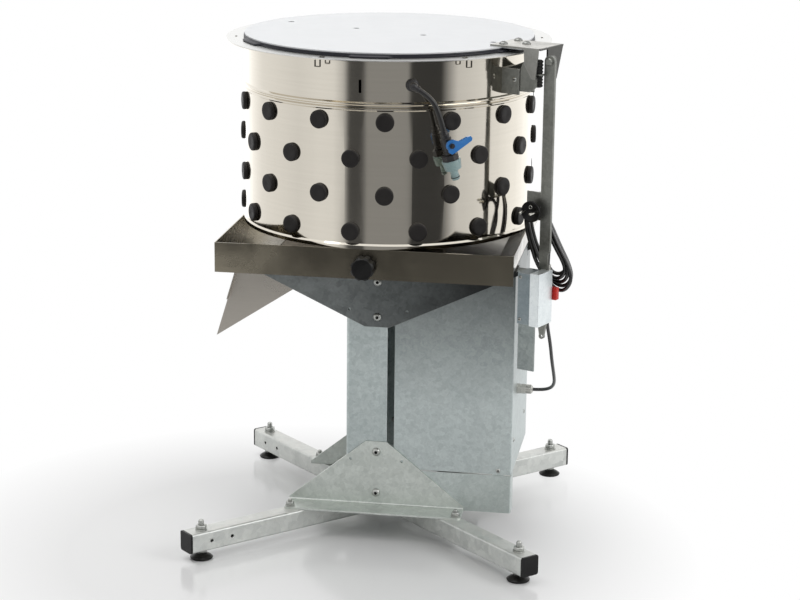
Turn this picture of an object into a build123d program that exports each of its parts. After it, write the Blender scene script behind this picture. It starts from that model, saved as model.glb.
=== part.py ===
"""Drum plucker for poultry: a stainless drum with rubber fingers on a galvanised cross base.

Millimetres, +Z up. The origin is on the drum's axis at floor level. The tray's knob faces -Y,
the motor casing stands on the +X side, and the lid hinge sits at the azimuth LID_AZIMUTH.
"""
from build123d import *
from math import atan2, cos, hypot, pi, radians, sin, sqrt, tan
import os

# Base frame
TUBE = 35.0
TUBE_WALL = 2.0
TUBE_CORNER = 4.0
ARM_REACH = 420.0
CAP_PLATE = 4.0
CAP_PLUG = 14.0
FOOT_INSET = 31.0
FOOT_RADIUS = 20.0
PAD_HEIGHT = 9.5
STUD_RADIUS = 4.9
STUD_HEIGHT = 70.0
STUD_SEAT = 4.0
FOOT_GAP = 7.5
NUT_FLATS = 17.0
NUT_HEIGHT = 7.0
LOCK_NUT_HEIGHT = 6.0
WASHER_RADIUS = 10.5
WASHER_HEIGHT = 1.8
WHEEL_HOLES = (378.0, 337.0)
WHEEL_HOLE_RADIUS = 3.2

# Gusset plates, seen from the front
PLATE = 3.0
GUSSET_Y = 100.0
GUSSET_FLANGE = 47.0
BASE_GUSSET_TOP = 171.0
BASE_GUSSET_TOP_HALF = 19.0
BASE_GUSSET_FOOT_HALF = 157.0
HEAD_GUSSET_LOW = 381.0
HEAD_GUSSET_LOW_HALF = 22.0
HEAD_GUSSET_WIDE_HALF = 246.0
HEAD_GUSSET_SLOPE = 0.47
BOLT_RADIUS = 4.0
BOLT_HEAD_RADIUS = 7.5
BOLT_HEAD = 4.5
BOLT_CLEAR = 0.4
WEB_BOLT_HEIGHTS = (76.0, 152.0, 399.0, 462.0)
BRACKET_BOLT = (222.0, -125.0)
FLANGE_BOLT = (148.0, 137.0)
FLANGE_BOLT_RADIUS = 3.9
FLANGE_BOLT_TOP = 12.5
FLANGE_BOLT_GRIP = 10.0
FLANGE_NUT_FLATS = 13.0
FLANGE_NUT_HEIGHT = 6.5
FLANGE_WASHER_RADIUS = 8.4

# Column and motor casing
COLUMN_LEFT = -55.0
COLUMN_RIGHT = 18.0
CASING_LEFT = 31.0
CASING_RIGHT = 240.0
CASING_BACK = 145.0
CASING_SHEET = 1.5
COVER_BOTTOM = 123.0
SEAM = 2.0
SEAM_SCREW = (217.0, 130.0)
LOWER_RETURN = 30.0
COVER_SCREW_RADIUS = 2.0
COVER_SCREW_HEAD = 4.2
GLAND_Y = -31.0
GLAND_Z = 263.0
GLAND_THREAD = 6.5
GLAND_LENGTH = 28.0

# Deck and tray
DECK_Z = 502.0
BEARING_PLATE = 4.0
BEARING_PLATE_RIGHT = 205.0
BEARING_PLATE_LEFT = -46.0
TRAY_HALF = 252.0
TRAY_SHEET = 1.5
TRAY_RIM_Z = 556.0
TRAY_SLOPE_X = 208.0
TRAY_RIGHT_Z = 529.0
CHUTE_HALF = 95.0
CHUTE_RIGHT = -60.0
CHUTE_TOP_LEFT = -240.2
CHUTE_TIP = (-288.4, 349.5)
CHUTE_FLOOR_SLOPE = 0.656
CHUTE_LIP = 13.0
CHUTE_LIP_Z = (419.0, 480.0)
MOUTH_LEFT = -180.0
COLLAR_RADIUS = 34.0
COLLAR_TOP = 545.0
KNOB_X = 2.8
KNOB_Z = 527.0
KNOB_RADIUS = 20.0
KNOB_HEIGHT = 24.0
KNOB_STUD_RADIUS = 4.0

# Drum
DRUM_RADIUS = 250.0
DRUM_WALL = 1.5
DRUM_TOP = 875.0
RIM_SHEET = 2.0
RIM_RADIUS = 281.0
BEAD_HEIGHTS = (790.5, 799.0)
BEAD_HALF = 3.4
BEAD_RISE = 2.6
FOOT_BEAD_RISE = 2.4
FOOT_BEAD_HEIGHT = 9.0
RIM_SLOT_WIDTH = 3.5
RIM_SLOTS = ((-167.0, 264.0, 18.0), (163.5, 266.0, 18.0), (10.0, 264.0, 18.0), (-108.4, 276.0, 8.0),
             (-105.3, 269.0, 6.0), (-52.7, 269.0, 6.0), (-48.8, 272.0, 9.0))
WALL_SLOT_AZIMUTH = -91.5
OUTLET_AZIMUTH = -72.0
OUTLET_Z = 831.4
OUTLET_RADIUS = 7.0
CLIP_AZIMUTHS = (-105.3, -52.7)
CLIP_RHO = 269.0
CLIP_SHEET = 1.4
CLIP_WIDTH = 3.0
CLIP_CAP = 8.0
CLIP_FOOT = 859.5
CLIP_CURL = 9.0
ROW_TOP = 769.5
ROW_PITCH = 61.4
ROWS = 4
FINGERS_PER_ROW = 14
FIRST_FINGER = -82.0
FINGER_HEAD_RADIUS = 15.5
FINGER_HEAD = 7.0
FINGER_NECK_RADIUS = 10.4
FINGER_TIP_RADIUS = 6.5
FINGER_LENGTH = 84.0
FINGER_HOLE_CLEAR = 0.15

# Rotor and drive
PLATE_GAP = 5.5
ROTOR_Z = 566.0
ROTOR_PLATE = 5.0
ROTOR_RINGS = ((138.0, 8), (72.0, 4))
SHAFT_RADIUS = 12.5
SHAFT_BOTTOM = 408.0
HUB_RADIUS = 40.0
HUB_HEIGHT = 18.0
RUNNING_GAP = 0.05
HOUSING_RADIUS = 34.0
HOUSING_HEIGHT = 20.0
BEARING_RADIUS = 26.0
BEARING_HEIGHT = 15.0
MOTOR_PLATE_Z = 422.0
MOTOR_PLATE = 5.0
MOTOR_X = 138.0
MOTOR_Y = 20.0
MOTOR_RADIUS = 68.0
MOTOR_LENGTH = 210.0
MOTOR_SHAFT_RADIUS = 9.5
PULLEY_Z = 466.0
PULLEY_WIDTH = 22.0
DRIVEN_RADIUS = 46.0
DRIVE_RADIUS = 18.4
BELT_WIDTH = 14.0
BELT_THICK = 4.0
BELT_SEAT = 2.5

# Lid and hinge, along the hinge azimuth: rho outwards, tau across
LID_AZIMUTH = -24.0
LID_RADIUS = 250.0
LID_Z = 881.4
LID_SHEET = 2.0
TONGUE_REACH = 285.0
TONGUE_HALF = 36.0
LID_HOLE_PITCH = 139.0
LID_HOLE_RADIUS = 5.5
SEAL_GAP = 0.3
SEAL_WIDTH = 12.0
SEAL_LUG_REACH = 265.0
SEAL_LUG = 3.0
SEAL_LUG_HALF_ANGLE = 8.0
SEAL_LUG_ANGLES = (-28.0, -88.0, -148.0, 152.0, 92.0, 32.0)
PIVOT_RHO = 329.3
PIVOT_Z = 864.0
PIVOT_RADIUS = 4.0
POST_FRONT = -20.0
POST_THICK = 5.0
POST_WIDTH = 20.0
POST_FOOT_WIDTH = 16.5
POST_NARROW_Z = 545.0
POST_BOTTOM = 388.0
LUG_GAP = 0.5
LUG_THICK = 5.0
EAR_FRONT = -39.0
EAR_THICK = 3.0
BRACKET_OUT = 322.5
BRACKET_IN = 226.0
BRACKET_BOLTS = ((243.0, -24.5), (243.0, 24.5), (273.0, 0.0))
SUPPORT_Z = (806.0, 849.0)
SUPPORT_TAU = (-35.0, 5.0)
SUPPORT_SHEET = 2.5
TAB_Z = 841.0
BUFFER_PLACE = (310.5, -24.0)
BUFFER_Z = (820.5, 866.0)
BUFFER_RADIUS = 8.0
BUFFER_NECK = 3.2
BUFFER_RIBS = 4

# Switch box on the post
BOX_RHO = (301.0, 342.0)
BOX_TAU = (-59.0, -20.0)
BOX_Z = (421.0, 512.0)
BOX_SHEET = 1.2
BOX_SCREW_RADIUS = 1.8
COVER_RHO = 325.0
COVER_BACK = -12.0
SWITCH_RHO = (320.0, 334.0)
SWITCH_TAU = (-12.0, 1.5)
SWITCH_Z = (446.0, 508.0)
SWITCH_LEAD = (328.5, -5.25)
BUTTON_TAU = (-10.0, -0.5)
STOP_Z = (459.0, 480.0)
KEY_REACH = 15.0

# Cords
MAINS_DIAMETER = 6.5
MOTOR_CABLE_DIAMETER = 6.0
HOSE_DIAMETER = 9.0
RUN_SHARE = 0.48
END_RUN_SHARE = 0.95
WIDEST_BEND = 60.0
HANK_TAU = (7.0, 25.0)
HANK_TAIL = (310.0, 9.0, 598.0)
PLUG_PLACE = (310.0, -38.0, 612.0)

# Hose valve: distances along its axis from the hose's end
ELBOW_REACH = 10.0
VALVE_AZIMUTH = -59.1
UNION_START = 40.5
UNION_LENGTH = 9.5
UNION_APOTHEM = 13.5
STEM_ALONG = 22.3
STEM_SHOULDER = 15.6
STEM_RADIUS = 2.5
LEVER_GAP = 0.1
LEVER_THICK = 5.0
LEVER_REST = -89.0

# Worked out from the sizes above
TUBE_Z = PAD_HEIGHT + FOOT_GAP
TUBE_TOP = TUBE_Z + TUBE
FOOT_REACH = ARM_REACH - FOOT_INSET
CASING_TOP = DECK_Z - PLATE - 0.3
BEARING_PLATE_Z = DECK_Z + PLATE
TRAY_FLOOR_Z = BEARING_PLATE_Z + BEARING_PLATE
APRON_Z = BEARING_PLATE_Z
BRACKET_Z = LID_Z + LID_SHEET
ROW_HEIGHTS = [ROW_TOP - ROW_PITCH * row for row in range(ROWS)]
ARM_ANGLES = {"front_left": 225.0, "front_right": 315.0, "back_right": 45.0, "back_left": 135.0}
HINGE = Rot(0, 0, LID_AZIMUTH)


def save(node, *solids):
    """Write one node: a single solid, or a group of separate ones."""
    pieces = [piece for group in solids for piece in group.solids()]
    shape = pieces[0] if len(pieces) == 1 else Compound(children=pieces)
    shape.label = node
    export_step(shape, f"parts/{node}.step")


def block(x, y, z):
    """A box between two corners given as (low, high) pairs."""
    size = (x[1] - x[0], y[1] - y[0], z[1] - z[0])
    return Pos((x[0] + x[1]) / 2, (y[0] + y[1]) / 2, (z[0] + z[1]) / 2) * Box(*size)


def rod(radius, low, high, x=0.0, y=0.0):
    """An upright cylinder from one height to another."""
    return Pos(x, y, (low + high) / 2) * Cylinder(radius, high - low)


def front_plate(points, y, thickness):
    """A plate drawn in X and Z, from y towards +Y by its thickness."""
    face = make_face(Polyline(*[(px, 0, pz) for px, pz in points], close=True))
    return Pos(0, y, 0) * extrude(face, amount=thickness, dir=(0, 1, 0))


def level_plate(points, z, thickness):
    """A plate drawn in X and Y, from z upwards by its thickness."""
    face = make_face(Polyline(*[(px, py, 0) for px, py in points], close=True))
    return Pos(0, 0, z) * extrude(face, amount=thickness, dir=(0, 0, 1))


def bent_sheet(points, radius, sheet, low, high):
    """A sheet folded along upright lines: outer corners at the points, metal inside them."""
    outer = FilletPolyline(*points, radius=radius)
    profile = make_face(offset(outer, amount=sheet, side=Side.LEFT))
    return Pos(0, 0, low) * extrude(profile, amount=high - low, dir=(0, 0, 1))


def hexagon(flats, height):
    return extrude(RegularPolygon(flats / 2, 6, major_radius=False), amount=height)


def button_screw(radius, head_radius, head, shank):
    """A button-head screw: the head above z 0, the shank below it."""
    cap = chamfer(Cylinder(head_radius, head, align=(Align.CENTER, Align.CENTER, Align.MIN))
                  .edges().sort_by(Axis.Z)[-1], head * 0.45)
    body = Cylinder(radius, shank, align=(Align.CENTER, Align.CENTER, Align.MAX))
    return cap + body


# Base frame

def square_tube(start, stop):
    """A square tube along +X, at the height of the base."""
    outer = RectangleRounded(TUBE, TUBE, TUBE_CORNER)
    inner = RectangleRounded(TUBE - 2 * TUBE_WALL, TUBE - 2 * TUBE_WALL, TUBE_CORNER - TUBE_WALL)
    profile = extrude(outer - inner, amount=stop - start)
    return Pos(start, 0, TUBE_Z + TUBE / 2) * Rot(0, 90, 0) * profile


def arm_holes(tube, reach_sign, wheel_holes):
    """Drill the foot's hole, and the side holes of an arm that can take a wheel."""
    tube -= rod(STUD_RADIUS + BOLT_CLEAR, TUBE_Z - 1, TUBE_TOP + 1, x=reach_sign * FOOT_REACH)
    if wheel_holes:
        for reach in WHEEL_HOLES:
            drill = Rot(90, 0, 0) * Cylinder(WHEEL_HOLE_RADIUS, TUBE + 2)
            tube -= Pos(reach_sign * reach, 0, TUBE_Z + TUBE / 2) * drill
    return tube


def flange_bolt_places():
    """Where each gusset's flange is bolted to the arms: (x, y) of the four bolts."""
    reach_x, reach_y = FLANGE_BOLT
    return [(sx * reach_x, sy * reach_y) for sx in (-1, 1) for sy in (-1, 1)]


def drill_flange_bolts(part):
    for x, y in flange_bolt_places():
        part -= rod(FLANGE_BOLT_RADIUS + BOLT_CLEAR, TUBE_TOP - TUBE_WALL - 1, TUBE_TOP + PLATE + 1, x, y)
    return part


def flange_bolt():
    """A washer and a nut on a bolt's end that stands up from the flange, its seat at z 0."""
    washer = rod(FLANGE_WASHER_RADIUS, 0, WASHER_HEIGHT)
    washer -= rod(FLANGE_BOLT_RADIUS + 0.3, -1, WASHER_HEIGHT + 1)
    nut = Pos(0, 0, WASHER_HEIGHT) * hexagon(FLANGE_NUT_FLATS, FLANGE_NUT_HEIGHT)
    bolt = rod(FLANGE_BOLT_RADIUS, -FLANGE_BOLT_GRIP, FLANGE_BOLT_TOP)
    bolt = chamfer(bolt.edges().sort_by(Axis.Z)[-1], 1.0)
    return [washer, nut + bolt]


def base_arms():
    inner_end = ARM_REACH - CAP_PLATE
    through = square_tube(-inner_end, inner_end)
    through = arm_holes(arm_holes(through, 1, False), -1, True)
    through = drill_flange_bolts(Rot(0, 0, ARM_ANGLES["back_right"]) * through)
    butt_right = arm_holes(square_tube(TUBE / 2, inner_end), 1, False)
    butt_left = arm_holes(square_tube(TUBE / 2, inner_end), 1, True)
    butt_right = drill_flange_bolts(Rot(0, 0, ARM_ANGLES["front_right"]) * butt_right)
    butt_left = drill_flange_bolts(Rot(0, 0, ARM_ANGLES["back_left"]) * butt_left)
    return through, butt_right, butt_left


def end_cap():
    """A plastic cap: a rounded plate outside and a plug inside the tube, along +X."""
    plate = extrude(RectangleRounded(TUBE, TUBE, TUBE_CORNER), amount=CAP_PLATE)
    plug_side = TUBE - 2 * TUBE_WALL - 0.4
    plug = extrude(RectangleRounded(plug_side, plug_side, 1.5), amount=-CAP_PLUG)
    cap = plate + plug
    return Pos(ARM_REACH - CAP_PLATE, 0, TUBE_Z + TUBE / 2) * Rot(0, 90, 0) * cap


def foot_pad():
    """A moulded disc foot with a sloping shoulder and a blind seat for its stud."""
    outline = Polyline((0, 0), (FOOT_RADIUS - 1, 0), (FOOT_RADIUS, 2.5), (FOOT_RADIUS - 5, 6.5),
                       (STUD_RADIUS + 4, PAD_HEIGHT), (STUD_RADIUS, PAD_HEIGHT),
                       (STUD_RADIUS, STUD_SEAT), (0, STUD_SEAT), close=True)
    return revolve(Plane.XZ * make_face(outline), Axis.Z)


def foot_stud():
    stud = rod(STUD_RADIUS, STUD_SEAT, STUD_HEIGHT)
    return chamfer(stud.edges().sort_by(Axis.Z)[-1], 1.2)


def foot_fasteners():
    """Lock nut under the tube, then washer and nut on top of it."""
    bore = rod(STUD_RADIUS + 0.3, 0, STUD_HEIGHT + 1)
    lock = Pos(0, 0, TUBE_Z - LOCK_NUT_HEIGHT) * hexagon(NUT_FLATS, LOCK_NUT_HEIGHT)
    washer = rod(WASHER_RADIUS, TUBE_TOP, TUBE_TOP + WASHER_HEIGHT)
    nut = Pos(0, 0, TUBE_TOP + WASHER_HEIGHT) * hexagon(NUT_FLATS, NUT_HEIGHT)
    return [lock - bore, washer - bore, nut - bore]


# Gusset plates

def gusset_blank(width, fold_z, up):
    """An angle with its fold at fold_z: the web in the plane of the plates, the flange outside."""
    reach = 160.0 if up else -160.0
    outer = FilletPolyline((-GUSSET_Y - GUSSET_FLANGE, fold_z), (-GUSSET_Y + PLATE, fold_z),
                           (-GUSSET_Y + PLATE, fold_z + reach), radius=2 * PLATE)
    side = Side.LEFT if up else Side.RIGHT
    profile = make_face(offset(outer, amount=PLATE, side=side))
    return Pos(-width / 2, 0, 0) * extrude(Plane.YZ * profile, amount=width)


def base_gusset():
    """Base plate: a trapezium web with clipped shoulders, standing on a flange on the arms."""
    blank = gusset_blank(2 * BASE_GUSSET_FOOT_HALF, TUBE_TOP, True)
    low = TUBE_TOP - 1
    web = front_plate([(-BASE_GUSSET_FOOT_HALF, low), (BASE_GUSSET_FOOT_HALF, low),
                       (BASE_GUSSET_FOOT_HALF, TUBE_TOP + 7), (BASE_GUSSET_TOP_HALF, BASE_GUSSET_TOP),
                       (-BASE_GUSSET_TOP_HALF, BASE_GUSSET_TOP), (-BASE_GUSSET_FOOT_HALF, TUBE_TOP + 7)],
                      -GUSSET_Y - GUSSET_FLANGE - 1, GUSSET_FLANGE + 2 * PLATE)
    part = blank & web
    clip = 5.0
    edge = GUSSET_Y + GUSSET_FLANGE
    for side in (-1, 1):
        corner = [(side * (BASE_GUSSET_FOOT_HALF + 1), -edge - 1),
                  (side * (BASE_GUSSET_FOOT_HALF - clip), -edge - 1),
                  (side * (BASE_GUSSET_FOOT_HALF + 1), -edge + clip)]
        part -= level_plate(corner, TUBE_TOP - 1, PLATE + 2)
    for x in (-46.0, 46.0):
        part -= Pos(x, -GUSSET_Y, 137.0) * Rot(90, 0, 0) * Cylinder(2.6, 4 * PLATE)
    return drill_web_bolts(drill_flange_bolts(part))


def head_gusset():
    """Head plate: a wide shallow trapezium hanging from a flange under the deck."""
    slope_top = HEAD_GUSSET_LOW + (HEAD_GUSSET_WIDE_HALF - HEAD_GUSSET_LOW_HALF) * HEAD_GUSSET_SLOPE
    blank = gusset_blank(2 * HEAD_GUSSET_WIDE_HALF, BEARING_PLATE_Z, False)
    high = BEARING_PLATE_Z + 1
    web = front_plate([(-HEAD_GUSSET_WIDE_HALF, high), (-HEAD_GUSSET_WIDE_HALF, slope_top),
                       (-HEAD_GUSSET_LOW_HALF, HEAD_GUSSET_LOW), (HEAD_GUSSET_LOW_HALF, HEAD_GUSSET_LOW),
                       (HEAD_GUSSET_WIDE_HALF, slope_top), (HEAD_GUSSET_WIDE_HALF, high)],
                      -GUSSET_Y - GUSSET_FLANGE - 1, GUSSET_FLANGE + 2 * PLATE)
    part = blank & web
    for x in (-50.0, 52.0):
        part -= Pos(x, -GUSSET_Y, 411.0) * Rot(90, 0, 0) * Cylinder(2.6, 4 * PLATE)
    part -= rod(BOLT_RADIUS + BOLT_CLEAR, DECK_Z - 1, BEARING_PLATE_Z + 1, *BRACKET_BOLT)
    return drill_web_bolts(part)


def drill_web_bolts(part):
    for z in WEB_BOLT_HEIGHTS:
        part -= Pos(0, 0, z) * Rot(90, 0, 0) * Cylinder(BOLT_RADIUS + BOLT_CLEAR, 3 * GUSSET_Y)
    return part


def gusset_bolts():
    """Screws that tie the plates to the column and the arms, all in one group."""
    bolt = button_screw(BOLT_RADIUS, BOLT_HEAD_RADIUS, BOLT_HEAD, 2 * PLATE + 6)
    pieces = []
    for z in WEB_BOLT_HEIGHTS:
        pieces.append(Pos(0, -GUSSET_Y, z) * Rot(90, 0, 0) * bolt)
        pieces.append(Pos(0, GUSSET_Y, z) * Rot(-90, 0, 0) * bolt)
    for x, y in flange_bolt_places():
        pieces += [Pos(x, y, TUBE_TOP + PLATE) * piece for piece in flange_bolt()]
    hanger = button_screw(BOLT_RADIUS, BOLT_HEAD_RADIUS, BOLT_HEAD, 2 * PLATE)
    pieces.append(Pos(*BRACKET_BOLT, DECK_Z - PLATE) * Rot(180, 0, 0) * hanger)
    return pieces


# Column and casing

def column():
    """A folded channel, open towards the casing."""
    y = GUSSET_Y - PLATE
    points = [(COLUMN_RIGHT, y), (COLUMN_LEFT, y), (COLUMN_LEFT, -y), (COLUMN_RIGHT, -y)]
    channel = bent_sheet(points, 2 * PLATE, PLATE, TUBE_TOP, DECK_Z - 8)
    return drill_web_bolts(channel)


def casing_sheet(right, front, back, low, high, front_return):
    """A thin cover sheet, folded round the right side of the casing."""
    points = [(CASING_LEFT, front), (right, front), (right, back)]
    if front_return:
        points.append((CASING_LEFT, back))
    return bent_sheet(points, 2.5, CASING_SHEET, low, high)


def casing_cover():
    front = -(GUSSET_Y - PLATE)
    cover = casing_sheet(CASING_RIGHT, front, CASING_BACK, COVER_BOTTOM, CASING_TOP, True)
    gland_bore = Pos(CASING_RIGHT, GLAND_Y, GLAND_Z) * Rot(0, 90, 0) * Cylinder(GLAND_THREAD, 10)
    cover -= gland_bore
    web = GUSSET_Y + CASING_SHEET
    corner = (CASING_RIGHT - 5, CASING_RIGHT + 1)
    cover -= block(corner, (web - 2 * PLATE, web), (CASING_TOP - 25, CASING_TOP + 1))
    for place in cover_screw_places():
        cover -= place * Cylinder(COVER_SCREW_RADIUS + 0.2, 10)
    return cover


def casing_lower_panel():
    """The sheet under the cover, in the cover's plane, with a tab that the cover is screwed to."""
    front = -(GUSSET_Y - PLATE)
    panel = casing_sheet(CASING_RIGHT, front, front + LOWER_RETURN, TUBE_TOP, COVER_BOTTOM - SEAM, False)
    inner = front + CASING_SHEET
    panel += block((SEAM_SCREW[0] - 10, SEAM_SCREW[0] + 10), (inner, inner + CASING_SHEET),
                   (COVER_BOTTOM - 13, COVER_BOTTOM + 15))
    for place in cover_screw_places():
        panel -= place * Cylinder(COVER_SCREW_RADIUS + 0.2, 10)
    return panel


def cover_screw_places():
    """Screws through the front and right sides of the cover, axis along local Z outwards."""
    front = -(GUSSET_Y - PLATE)
    places = [Pos(SEAM_SCREW[0], front, SEAM_SCREW[1]) * Rot(90, 0, 0)]
    for y, z in ((-70.0, 180.0), (100.0, 180.0), (100.0, 420.0), (-15.0, 300.0)):
        places.append(Pos(CASING_RIGHT, y, z) * Rot(0, 90, 0))
    return places


def cover_screws():
    screw = button_screw(COVER_SCREW_RADIUS, COVER_SCREW_HEAD, 1.8, 4.0)
    return [place * screw for place in cover_screw_places()]


# Drive

def bearing_plate():
    """The plate that carries the upper bearing, bridging the two head plates."""
    y = GUSSET_Y + GUSSET_FLANGE
    plate = block((BEARING_PLATE_LEFT, BEARING_PLATE_RIGHT), (-y, y),
                  (BEARING_PLATE_Z, BEARING_PLATE_Z + BEARING_PLATE))
    plate = fillet(plate.edges().filter_by(Axis.Z), 10)
    return plate - rod(SHAFT_RADIUS + 3, BEARING_PLATE_Z - 1, BEARING_PLATE_Z + 10)


def bearing_housing(flange_z, down):
    """A round flanged housing under a plate (down) or on top of it."""
    flange = 5.0
    outline = Polyline((BEARING_RADIUS, 0), (HOUSING_RADIUS + 8, 0), (HOUSING_RADIUS + 8, flange),
                       (HOUSING_RADIUS, flange), (HOUSING_RADIUS - 3, HOUSING_HEIGHT),
                       (BEARING_RADIUS, HOUSING_HEIGHT), close=True)
    ring = revolve(Plane.XZ * make_face(outline), Axis.Z)
    return Pos(0, 0, flange_z) * (Rot(180, 0, 0) * ring if down else ring)


def shaft_bearing(low):
    ring = rod(BEARING_RADIUS, low, low + BEARING_HEIGHT)
    return ring - rod(SHAFT_RADIUS + RUNNING_GAP, low - 1, low + BEARING_HEIGHT + 1)


def motor_plate():
    """The cross plate inside the column and casing: motor below, lower bearing on top."""
    y = GUSSET_Y - 2 * PLATE
    left = COLUMN_LEFT + PLATE
    right = CASING_RIGHT - CASING_SHEET
    plate = block((left, right), (-y, y), (MOTOR_PLATE_Z, MOTOR_PLATE_Z + MOTOR_PLATE))
    plate = chamfer(plate.edges().filter_by(Axis.Z), PLATE + 0.5)
    plate -= rod(SHAFT_RADIUS + 3, MOTOR_PLATE_Z - 1, MOTOR_PLATE_Z + 10)
    return plate - rod(MOTOR_SHAFT_RADIUS + 14, MOTOR_PLATE_Z - 1, MOTOR_PLATE_Z + 10, MOTOR_X, MOTOR_Y)


def rotor_shaft():
    shaft = rod(SHAFT_RADIUS, SHAFT_BOTTOM, ROTOR_Z + ROTOR_PLATE + HUB_HEIGHT)
    return chamfer(shaft.edges().sort_by(Axis.Z)[0], 1.5)


def pulley(radius, bore):
    """A belt pulley with a flat crown between two low flanges."""
    half = PULLEY_WIDTH / 2
    seat = BELT_WIDTH / 2 + 0.6
    outline = Polyline((bore, -half), (radius, -half), (radius, -seat), (radius - BELT_SEAT, -seat),
                       (radius - BELT_SEAT, seat), (radius, seat), (radius, half), (bore, half), close=True)
    return Pos(0, 0, PULLEY_Z) * revolve(Plane.XZ * make_face(outline), Axis.Z)


def drive_belt():
    """A flat belt loop: two tangents and two arcs, a little clear of both crowns."""
    gap = 0.3
    inner_a = DRIVEN_RADIUS - BELT_SEAT + gap
    inner_b = DRIVE_RADIUS - BELT_SEAT + gap

    def loop(extra):
        a, b = inner_a + extra, inner_b + extra
        discs = Circle(a) + Pos(MOTOR_X, MOTOR_Y) * Circle(b)
        span = hypot(MOTOR_X, MOTOR_Y)
        heading = atan2(MOTOR_Y, MOTOR_X)
        lean = pi / 2 - atan2(a - b, sqrt(span ** 2 - (a - b) ** 2))
        points = []
        for turn in (heading + lean, heading - lean):
            points.append((a * cos(turn), a * sin(turn)))
            points.append((MOTOR_X + b * cos(turn), MOTOR_Y + b * sin(turn)))
        return discs + make_face(Polyline(points[0], points[1], points[3], points[2], close=True))

    band = loop(BELT_THICK) - loop(0.0)
    return Pos(0, 0, PULLEY_Z - BELT_WIDTH / 2) * extrude(band, amount=BELT_WIDTH)


def motor_body():
    """A flange motor hanging under its plate: flange, ribbed barrel, fan cowl and terminal box."""
    top = MOTOR_PLATE_Z
    flange = rod(MOTOR_RADIUS + 14, top - 10, top)
    barrel = rod(MOTOR_RADIUS - 5, top - MOTOR_LENGTH + 45, top - 10)
    cowl = rod(MOTOR_RADIUS, top - MOTOR_LENGTH, top - MOTOR_LENGTH + 45)
    cowl = chamfer(cowl.edges().sort_by(Axis.Z)[0], 8)
    body = flange + barrel + cowl
    fins = 12
    for fin in range(fins):
        rib = block((MOTOR_RADIUS - 8, MOTOR_RADIUS), (-2.2, 2.2), (top - MOTOR_LENGTH + 45, top - 10))
        body += Rot(0, 0, 360.0 * fin / fins + 15.0) * rib
    box = block((-36, 36), (-MOTOR_RADIUS - 26, -MOTOR_RADIUS + 12), (top - 110, top - 40))
    body += fillet(box.edges().filter_by(Axis.Z), 6)
    body = Pos(MOTOR_X, MOTOR_Y, 0) * body
    return body - rod(MOTOR_SHAFT_RADIUS + RUNNING_GAP, top - 60, top + 1, MOTOR_X, MOTOR_Y)


# Tray and chute

def tray():
    """An open square tray under the drum: its right side slopes up to a shallow wall."""
    half = TRAY_HALF
    floor = TRAY_FLOOR_Z
    outer = Polyline((-half, TRAY_RIM_Z), (-half, floor), (TRAY_SLOPE_X, floor),
                     (half, TRAY_RIGHT_Z), (half, TRAY_RIM_Z))
    profile = Plane.XZ * make_face(offset(outer, amount=TRAY_SHEET, side=Side.LEFT))
    sheet = Pos(0, half, 0) * extrude(profile, amount=2 * half)
    apron = [(-half, APRON_Z), (half, APRON_Z), (half, TRAY_RIM_Z), (-half, TRAY_RIM_Z)]
    walls = front_plate(apron, -half, TRAY_SHEET) + front_plate(apron, half - TRAY_SHEET, TRAY_SHEET)
    part = sheet + walls
    mouth = CHUTE_HALF - 2 * TRAY_SHEET
    part -= block((MOUTH_LEFT, CHUTE_RIGHT), (-mouth, mouth), (floor - 2, floor + 4))
    collar = rod(COLLAR_RADIUS, floor, COLLAR_TOP)
    part += collar
    part -= rod(COLLAR_RADIUS - TRAY_SHEET, floor - 2, COLLAR_TOP + 1)
    return part - Pos(KNOB_X, -half, KNOB_Z) * Rot(90, 0, 0) * Cylinder(KNOB_STUD_RADIUS + 0.3, 10)


def tray_knob():
    """A lobed knob on a stud through the front wall, axis along -Y."""
    grip = rod(KNOB_RADIUS, 2.0, KNOB_HEIGHT)
    grip = chamfer(grip.edges().sort_by(Axis.Z)[-1], 3)
    lobes = 8
    for lobe in range(lobes):
        turn = 2 * pi * lobe / lobes
        reach = KNOB_RADIUS + 3.5
        grip -= rod(6.0, 1.0, KNOB_HEIGHT + 1, reach * cos(turn), reach * sin(turn))
    knob = grip + rod(KNOB_RADIUS * 0.5, 0.3, 2.0) + rod(KNOB_STUD_RADIUS, -16.0, 1.0)
    return Pos(KNOB_X, -TRAY_HALF, KNOB_Z) * Rot(90, 0, 0) * knob


def chute():
    """A sloping trough under the tray's left side, open at its lower left end."""
    tip_x, tip_z = CHUTE_TIP
    root_z = tip_z + (CHUTE_RIGHT - tip_x) * CHUTE_FLOOR_SLOPE
    top = TRAY_FLOOR_Z
    cheek = [(CHUTE_RIGHT, root_z), (CHUTE_RIGHT, top), (CHUTE_TOP_LEFT, top), (tip_x, tip_z)]
    outer = front_plate(cheek, -CHUTE_HALF, 2 * CHUTE_HALF)
    rise = TRAY_SHEET / cos(atan2(CHUTE_FLOOR_SLOPE, 1.0))
    lead = 60.0
    hollow = [(CHUTE_RIGHT + lead, root_z + lead * CHUTE_FLOOR_SLOPE + rise), (CHUTE_RIGHT + lead, top + 9),
              (CHUTE_TOP_LEFT - lead, top + 9), (tip_x - lead, tip_z - lead * CHUTE_FLOOR_SLOPE + rise)]
    trough = outer - front_plate(hollow, -CHUTE_HALF + TRAY_SHEET, 2 * CHUTE_HALF - 2 * TRAY_SHEET)
    lean = (CHUTE_TOP_LEFT - tip_x) / (top - tip_z)
    low, high = CHUTE_LIP_Z
    low_x, high_x = tip_x + (low - tip_z) * lean, tip_x + (high - tip_z) * lean
    lip = [(low_x, low), (high_x, high), (high_x + TRAY_SHEET, high), (low_x + TRAY_SHEET, low)]
    return trough + front_plate(lip, -CHUTE_HALF - CHUTE_LIP, CHUTE_LIP + TRAY_SHEET)


# Drum

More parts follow.
